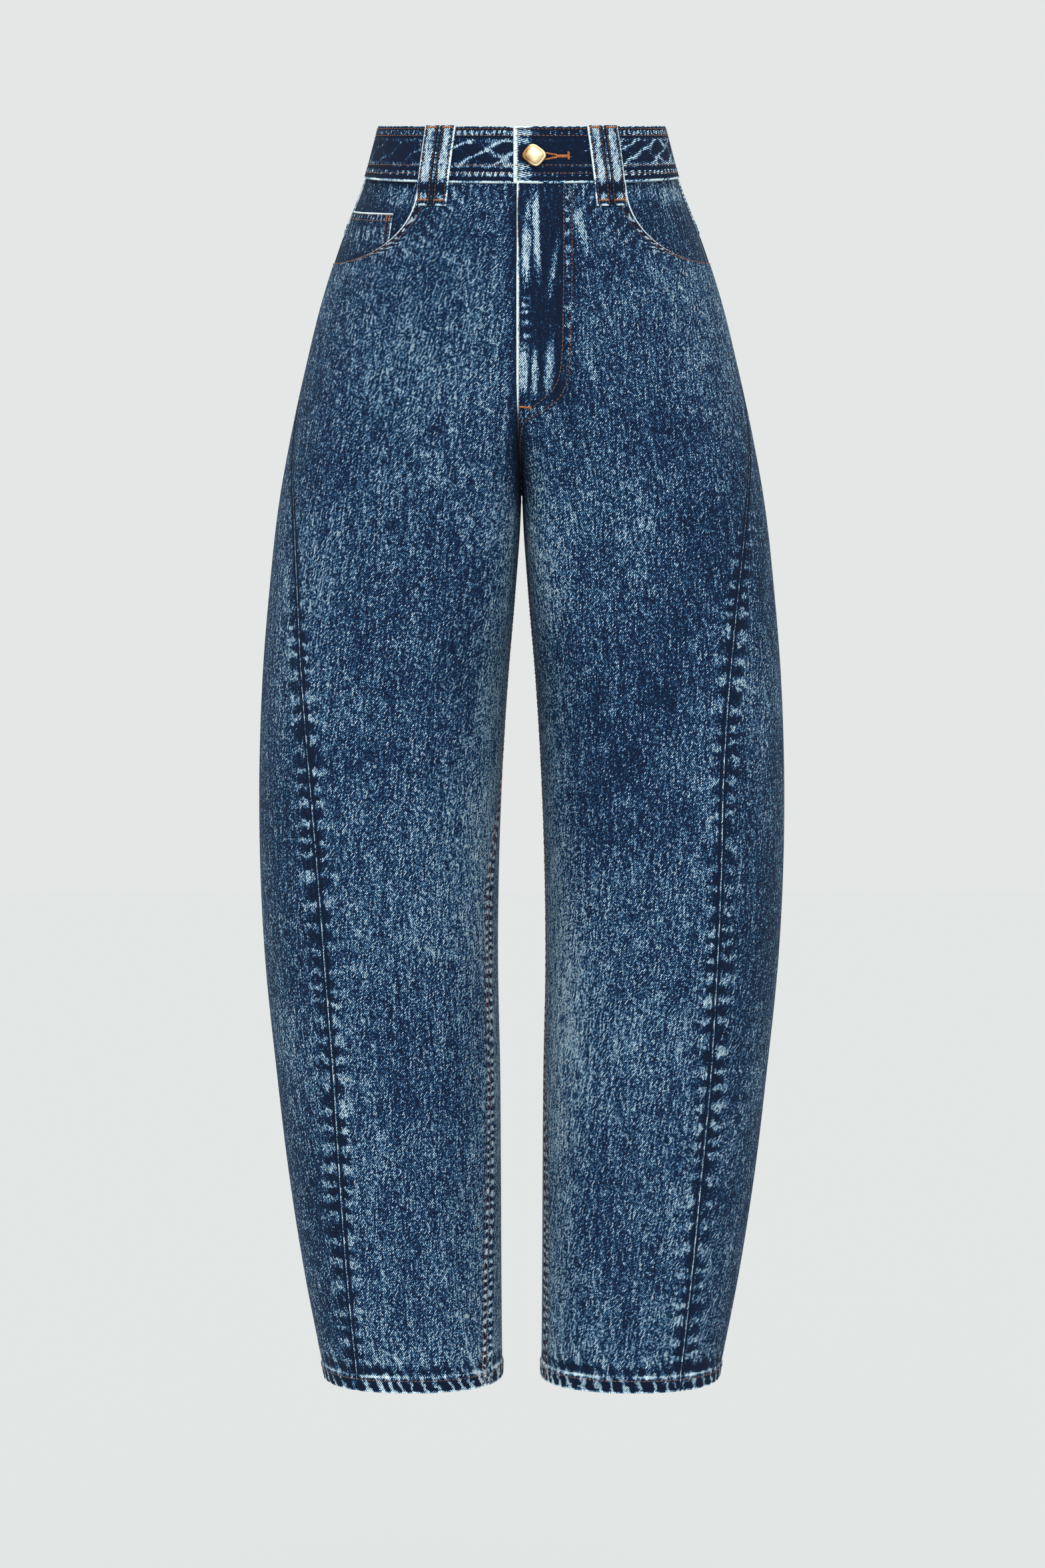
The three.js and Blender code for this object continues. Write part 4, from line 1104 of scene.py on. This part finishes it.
def front_line(side, waypoints, lift=0.3):
    """A line on the front through (x, level) waypoints, filled in straight between them, a little above the
    cloth.
    """
    x, level = np.array(waypoints, float).T
    t = np.arange(len(x))
    fine = np.linspace(0, len(x) - 1, 12 * len(x))
    x, level = np.interp(fine, t, x), np.interp(fine, t, level)
    points, normals = on_side(side, level, turn_at(side, level, x))
    over = FLY_PROUD * (1 - smoothstep(x - FLY_SHIFT, 0, FLY_FADE[0]))
    over = over * (1 - smoothstep(level, GROOVE_TOP + FLY_FADE[1], GROOVE_TOP))
    return points + normals * (lift + (over if side > 0 else 0))[..., None], normals


def curved(points, count=10):
    """A smooth curve through a few points: a Catmull-Rom spline."""
    p = np.array(points, float)
    p = np.concatenate([2 * p[:1] - p[1:2], p, 2 * p[-1:] - p[-2:-1]])
    t = np.linspace(0, 1, count, endpoint=False)[:, None]
    parts = [0.5 * (2 * p[i] + (p[i + 1] - p[i - 1]) * t
                    + (2 * p[i - 1] - 5 * p[i] + 4 * p[i + 1] - p[i + 2]) * t**2
                    + (3 * p[i] - p[i - 1] - 3 * p[i + 1] + p[i + 2]) * t**3) for i in range(1, len(p) - 2)]
    return np.concatenate([*parts, p[-2:-1]])


FLY_ROWS = ([(33, -45), (33, -100), (32.5, -150), (31, -200), (25.5, -223), (8.5, -240)],
            [(39.5, -45), (39.5, -100), (39, -150), (37, -205), (31, -229), (16, -243), (-1, -252)])
topstitch = []
for side, word in SIDES.items():
    front, back, yoke_piece, band = [f"denim_{p}_{word}" for p in ("front", "back", "yoke", "waistband")]
    for gap in (1.6, 8.2):
        path, way = border_line(front, "end", gap)
        topstitch.append(spindles(path[:MOUTH_ROWS], way[:MOUTH_ROWS]))
    for gap in (1.8, 6.6):
        path, way = border_line(front, "start", gap)
        below = path[:, 2] < -360
        topstitch.append(spindles(path[below], way[below]))
        path, way = border_line(back, "end", gap)
        above = path[:, 2] > FORK + 12
        topstitch.append(spindles(path[above], way[above]))
    for gap in (1.9, 7.4):
        topstitch.append(spindles(*border_line(yoke_piece, "foot", gap)))
    for piece in (front, back):
        topstitch.append(spindles(*border_line(piece, "foot", 9.4)))
    for gap in BAND_ROWS:
        topstitch.append(spindles(*border_line(band, "top", gap)))
for way_points in FLY_ROWS:
    topstitch.append(spindles(*front_line(1, curved(way_points))))
fly_edge, fly_way = border_line("denim_front_left", "start", 1.9)
above_fork = slice(None, 118)
below_fly = slice(100, 118)
topstitch.append(spindles(fly_edge[above_fork], fly_way[above_fork]))
path, way = border_line("denim_front_left", "start", 8.4)
topstitch.append(spindles(path[below_fly], way[below_fly]))
path, way = border_line("denim_waistband_left", "end", 3.0)
topstitch.append(spindles(path, way))
for pair in LOOP_PAIRS:
    for letter in "ab":
        for border in ("start", "end"):
            topstitch.append(spindles(*border_line(f"denim_belt_loop_{pair[0]}_{letter}", border, 2.0),
                                      radius=0.34))
for border, gap in (("top", 1.4), ("top", COIN_HEM - 1.0), ("start", 1.4), ("start", 6.0)):
    path, way = border_line("denim_coin_pocket", border, gap)
    skip = 6 if border == "start" and gap > 2 else 0
    topstitch.append(spindles(path[skip:], way[skip:], radius=0.34))
stitching = sewn("topstitching", topstitch)

# %% [markdown]
# ## Bar tacks and the buttonhole
# Where a seam ends under strain, a machine sews a dense bar of satin stitches in bright orange
# thread. The buttonhole is a keyhole: the same satin runs along both sides of its slit, spreads round
# the eye and is closed by a bar. On the coin pocket's corner only plain tacks are sewn.

# %% Bar tacks and the buttonhole
tacks = []
for where, *_ in LOOP_PAIRS:
    for letter in "ab":
        loop = f"denim_belt_loop_{where}_{letter}"
        for border, gap in (("foot", 4.0), ("top", 1.5)):
            path, way = border_line(loop, border, gap)
            tacks.append(satin(path[3:-3], way[3:-3], width=1.3))
for gap in (2.4, 5.0):
    path, way = border_line("denim_coin_pocket", "start", gap)
    run = run_along(path)
    kept = (run >= 0.8) & (run <= COIN_HEM - 0.4)
    tacks.append(satin(path[kept], way[kept], width=1.1))
tacks.append(satin(*front_line(1, [(-1.8, -239), (6.4, -240)]), width=1.5, lift=0.0))
tacks.append(satin(*front_line(1, [(6.6, -239), (6.6, -242.5)]), width=0.8, lift=0.0))
bar_tacks = sewn("bar_tacks", tacks)


def on_band(x, level, lift):
    points, normals = on_body(level, angle_at(level, x))
    return points + normals * (BAND_OUT + lift), normals


hole_x = np.arange(BUTTON["x"] - 2, BUTTON["x"] + SLIT["length"] - 8, 0.42)
opening = np.maximum(np.sqrt(np.maximum(BUTTON["eye"] ** 2 - (hole_x - BUTTON["x"]) ** 2, 0)), SLIT["half"])
opening = opening + 1.5 * smoothstep(hole_x, BUTTON["x"] + 18, BUTTON["x"] + 6)
purl = []
for sign in (1, -1):
    inner, out = on_band(hole_x, BUTTON["level"] + sign * (opening - 0.2), 0.1)
    outer, _ = on_band(hole_x, BUTTON["level"] + sign * (opening + 1.2), 0.1)
    purl.append(threads(inner, outer, out, radius=0.36))
bar_x = np.arange(BUTTON["x"] + SLIT["length"] - 8.4, BUTTON["x"] + SLIT["length"] + 1.4, 0.42)
low, out = on_band(bar_x, BUTTON["level"] - 1.25 + 0 * bar_x, 0.1)
high, _ = on_band(bar_x + 0.25, BUTTON["level"] + 1.25 + 0 * bar_x, 0.1)
purl.append(threads(low, high, out, radius=0.36))
end_x = np.full(9, BUTTON["x"] + SLIT["length"] + 1.3)
path, way = on_band(end_x, BUTTON["level"] + np.linspace(-2.5, 2.9, 9), 0.2)
purl.append(satin(path, way, width=2.0))
buttonhole = sewn("buttonhole_purl", purl)

# %% [markdown]
# ## Waist button
# A pressed brass cap on a shank: a rounded square that stands on its corner, softly domed, with a low
# rim that the press leaves. It is a
# profile carried round an outline: the outline is a superellipse, and every profile point is a share
# of its radius and a height. Near the shank the outline turns into a circle.

# %% Waist button
CAP = {"half": 8.1, "power": 3.4, "turn": 52.0, "long": 1.08}
PROFILE = np.array([  # share of the radius, height above the band in mm
    [0.001, 5.30], [0.12, 5.28], [0.25, 5.22], [0.40, 5.10], [0.55, 4.92], [0.68, 4.70], [0.77, 4.50],
    [0.83, 4.36], [0.87, 4.34], [0.91, 4.38], [0.95, 4.22], [0.98, 3.80], [1.0, 3.10], [0.995, 2.50],
    [0.975, 2.10], [0.94, 1.88], [0.88, 1.80], [0.6, 1.80], [0.30, 1.80], [0.275, 1.6], [0.27, 0.8],
    [0.27, -1.4], [0.001, -1.4]])


def button_cap():
    turns = np.radians(np.arange(0, 360, 4.0))
    square = CAP["half"] / (np.abs(np.cos(turns)) ** CAP["power"]
                            + np.abs(np.sin(turns)) ** CAP["power"]) ** (1 / CAP["power"])
    share = PROFILE[:, :1]
    radius = share * (square + (CAP["half"] - square) * smoothstep(share, 0.5, 0.28))
    turns = turns + np.radians(CAP["turn"])
    a, b = radius * np.cos(turns), radius * np.sin(turns)
    stretched = (CAP["long"] - 1) * (a * 0.79 - b * 0.61) * smoothstep(share, 0.28, 0.5)
    a, b = a + 0.79 * stretched, b - 0.61 * stretched
    local = np.stack([a, b, np.broadcast_to(PROFILE[:, 1:], radius.shape)], -1)
    middle, out = on_body(BUTTON["level"], angle_at(BUTTON["level"], BUTTON["x"]))
    across = unit(np.cross([0, 0, 1], out))
    points = middle + local @ np.stack([across, np.cross(out, across), out])
    rows, columns = radius.shape
    grid = np.arange(rows * columns).reshape(rows, columns)
    following = np.roll(grid, -1, axis=1)
    quads = np.stack([grid[:-1], grid[1:], following[1:], following[:-1]], -1).reshape(-1, 4)
    caps = [np.stack([np.full(columns, rows * columns), grid[0], following[0]], -1),
            np.stack([np.full(columns, rows * columns + 1), following[-1], grid[-1]], -1)]
    points = np.concatenate([points.reshape(-1, 3), [points[0].mean(0)], [points[-1].mean(0)]])
    rim = np.append(np.broadcast_to(share, radius.shape).ravel(), [0, 0])
    return new_object("waist_button", points, [quads, np.concatenate(caps)], {"rim": rim})


button = button_cap()
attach(button, "root")
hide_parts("button")

# %% [markdown]
# ## Materials
# Denim is a 3/1 twill: blue warp threads pass over three white weft threads and under one, and the
# floats form a diagonal that rises to the right. These jeans were tumbled with pumice soaked in
# bleach, which bites the threads unevenly into salt and pepper. So the colour is a bleaching level,
# the sum of slow clouds, streaks along the warp, grains along the twill and the wear from the sewing,
# and a ramp turns that level from indigo to nearly white. Where the bleach hardly came, in the fly's
# hollow and on the waistband, the cloth is calm and dark. Where it came most, the weave shows as
# plain white lines.

# %% Denim
TWILL_SPACING = 1.22  # mm between diagonals
TWILL_LEAN = np.radians(37)  # from the warp
INDIGO_TO_WHITE = [(0.0, "#07152b"), (0.16, "#0a1b36"), (0.33, "#0e2849"), (0.45, "#173f6a"),
                   (0.57, "#336a95"), (0.74, "#75a9c8"), (0.93, "#e0f0f1")]
WRONG_SIDE = "#8497a8"  # mostly white weft, seen from inside


def denim_material(name):
    """Stone and acid washed indigo denim. Matt, with a faint nap that catches light at the sides."""
    material, tree, shader = new_material(name)

    def attribute(key, output):
        return add_node(tree, "ShaderNodeAttribute", attribute_name=key).outputs[output]

    def math(operation, *values):
        return add_node(tree, "ShaderNodeMath", dict(enumerate(values)), operation=operation).outputs[0]

    def noise(across, along, detail, lean=0.0, rough=0.55):
        """Noise with cells of that size in mm across and along the warp, or turned off it."""
        turned = add_node(tree, "ShaderNodeMapping", {"Vector": weave, "Rotation": (0, 0, lean)})
        scale = (1 / across, 1 / along, 1)
        scaled = add_node(tree, "ShaderNodeMapping", {"Vector": turned.outputs[0], "Scale": scale})
        inputs = {"Vector": scaled.outputs[0], "Scale": 1.0, "Detail": detail, "Roughness": rough}
        return add_node(tree, "ShaderNodeTexNoise", inputs).outputs["Fac"]

    weave, pucker = attribute("weave", "Vector"), attribute("pucker", "Vector")
    wash_and_painted_light, edge, inside = [attribute(key, "Fac") for key in ("wash_and_painted_light", "edge", "inside")]
    clouds = noise(55, 100, 3)
    streaks = noise(5, 45, 2)
    fine_streaks = noise(1.6, 10, 2, np.radians(6))
    patches = noise(6, 8, 2)
    grains = noise(0.6, 1.5, 2, TWILL_LEAN, 0.6)
    dashes = noise(1.4, 3.0, 1, 0.75 * TWILL_LEAN)

    # a seam's puckers: pale on each ridge and dark in each hollow, at a pace that the patches upset
    parts = add_node(tree, "ShaderNodeSeparateXYZ", {0: pucker})
    beat = math("MULTIPLY_ADD", patches, 1.1, parts.outputs[0])
    wave = math("SINE", math("MULTIPLY", beat, 2 * np.pi))
    light = math("MULTIPLY", spread(wave, 0.05, 0.9), parts.outputs[1])
    dark = math("MULTIPLY", spread(wave, 0.25, -0.7), parts.outputs[2])
    rubbed = math("MULTIPLY", spread(edge, 2.0, 0.6), math("MULTIPLY_ADD", patches, 1.5, 0.15))

    # the grains are strongest on cloth that was washed as usual, weak on dark and on white cloth
    salt = spread(wash_and_painted_light, 0.15, 0.75, 2.3, 0.9, "LINEAR")
    calm = spread(wash_and_painted_light, -0.45, -0.12, 0.4, 1.0, "LINEAR")
    salt = math("MULTIPLY", salt, calm)
    level = math("MULTIPLY_ADD", clouds, 0.34, 0.055)
    level = math("MULTIPLY_ADD", math("SUBTRACT", dashes, 0.5), math("MULTIPLY", calm, 1.3), level)
    level = math("MULTIPLY_ADD", streaks, 0.55, math("SUBTRACT", level, 0.275))
    level = math("MULTIPLY_ADD", math("SUBTRACT", fine_streaks, 0.5), math("MULTIPLY", calm, 1.2), level)
    # the pieces' own wash, with the painted shade and painted light that some of them carry
    level = math("MULTIPLY_ADD", wash_and_painted_light, math("MULTIPLY_ADD", patches, 0.9, 0.55), level)
    level = math("MULTIPLY_ADD", light, 0.6, level)
    level = math("MULTIPLY_ADD", dark, -0.42, level)

    # the twill's lines, clearer where the cloth is paler
    turned = add_node(tree, "ShaderNodeMapping", {"Vector": weave, "Rotation": (0, 0, TWILL_LEAN)})
    cross = add_node(tree, "ShaderNodeSeparateXYZ", {0: turned.outputs[0]}).outputs[0]
    ribs = math("SINE", math("MULTIPLY", cross, 2 * np.pi / TWILL_SPACING))
    lines = spread(level, 0.15, 0.80, 0.2, 0.52, "LINEAR")
    level = math("MULTIPLY_ADD", math("SUBTRACT", grains, 0.5), salt, level)
    level = math("MULTIPLY_ADD", ribs, lines, level)
    level = math("MULTIPLY_ADD", rubbed, 0.7, level)

    right_side = coloured(tree, level, INDIGO_TO_WHITE)
    inputs = {0: inside, 6: right_side, 7: linear(WRONG_SIDE)}
    both = add_node(tree, "ShaderNodeMix", inputs, data_type="RGBA")
    relief = math("MULTIPLY_ADD", grains, 1.2, math("MULTIPLY", ribs, 0.3))
    bump = add_node(tree, "ShaderNodeBump", {"Strength": 0.55, "Distance": 0.0004, "Height": relief})
    set_inputs(tree, shader, {
        "Base Color": both.outputs[2], "Normal": bump.outputs[0],
        "Roughness": 0.9, "Specular IOR Level": 0.15,
        "Sheen Weight": 0.02, "Sheen Roughness": 0.5, "Sheen Tint": linear("#bcd6e6")})
    return material


denim = denim_material("acid_washed_indigo_twill")
print(denim.name + ":", len(denim.node_tree.nodes), "nodes")
for piece in PIECES.values():
    piece["object"].data.materials.append(denim)

# %% [markdown]
# ## Thread
# Topstitching thread is cotton wound round polyester, in a rust brown that washing has dulled. Its
# fibres are far finer than a stitch, so they show as a fine mottle between a lit and a deep tone. Bar
# tacks are sewn in a brighter orange. Cotton is matt, with a soft sheen where fibres stand up.

# %% Thread
def thread_material(name, colour, deep):
    material, tree, shader = new_material(name)
    place = add_node(tree, "ShaderNodeTexCoord").outputs["Object"]
    fibres = add_node(tree, "ShaderNodeTexNoise", {"Vector": place, "Scale": 900.0, "Detail": 2.0})
    fibres = fibres.outputs["Fac"]
    bump = add_node(tree, "ShaderNodeBump", {"Strength": 0.4, "Distance": 0.0002, "Height": fibres})
    set_inputs(tree, shader, {"Base Color": coloured(tree, fibres, [(0.35, deep), (0.65, colour)]),
                              "Normal": bump.outputs[0], "Roughness": 0.65, "Sheen Weight": 0.2})
    return material


stitching.data.materials.append(thread_material("waxed_cotton_thread_rust", "#93562c", "#4e2c16"))
orange = thread_material("cotton_thread_orange", "#cb7628", "#8d4a17")
for piece in (bar_tacks, buttonhole):
    piece.data.materials.append(orange)

# %% [markdown]
# ## Brushed brass
# The cap is brass, pressed and then brushed until its shine is soft. Its base colour darkens towards the
# rim and on one half, which keeps a brown tone: painted shade, standing in for the darker parts of a
# room that the cap would mirror. Metal takes its colour from its base colour alone, so that is where
# the painted shade goes, and the brushing shows as roughness and a low bump.

# %% Brushed brass
def brass_material():
    material, tree, shader = new_material("brushed_brass_plate")
    place = add_node(tree, "ShaderNodeTexCoord").outputs["Object"]
    rim = add_node(tree, "ShaderNodeAttribute", attribute_name="rim").outputs["Fac"]
    hammered = add_node(tree, "ShaderNodeTexNoise", {"Vector": place, "Scale": 330.0, "Detail": 3.0})
    hammered = hammered.outputs["Fac"]
    stretched = add_node(tree, "ShaderNodeMapping", {"Vector": place, "Scale": (500, 500, 2600)})
    inputs = {"Vector": stretched.outputs[0], "Scale": 1.0, "Detail": 2.0}
    brushed = add_node(tree, "ShaderNodeTexNoise", inputs)

    # painted shade: the base colour darkens towards the rim and on one half of the cap
    painted_rim_shade = spread(rim, 0.55, 1.05, 0.0, 0.25)
    across = add_node(tree, "ShaderNodeSeparateXYZ", {0: place}).outputs[0]
    painted_shade_half = spread(across, 0.0015, 0.0125, 0.7, 0.0)
    dents_and_painted_shade = add_node(tree, "ShaderNodeMath", {0: hammered, 1: 0.5, 2: painted_rim_shade}, operation="MULTIPLY_ADD")
    dents_and_painted_shade = add_node(tree, "ShaderNodeMath", {0: dents_and_painted_shade.outputs[0], 1: painted_shade_half}, operation="ADD")
    bump = add_node(tree, "ShaderNodeBump", {"Strength": 0.35, "Distance": 0.0003, "Height": hammered})
    set_inputs(tree, shader, {
        "Base Color": coloured(tree, dents_and_painted_shade.outputs[0], [(0.2, "#d9c098"), (1.0, "#6b4d2a")]),
        "Roughness": spread(brushed.outputs["Fac"], 0.3, 0.7, 0.26, 0.46, "LINEAR"),
        "Normal": bump.outputs[0], "Metallic": 1.0})
    return material


button.data.materials.append(brass_material())

# %% [markdown]
# A cutter thinks of each piece as a flat sheet, so each one's width and length in metres and its area in
# square metres are measured here.

# %% Sheets
for piece in PIECES.values():
    width, length, area = measured(piece["outer"])
    width, length, area = width / 1000, length / 1000, area / 1e6
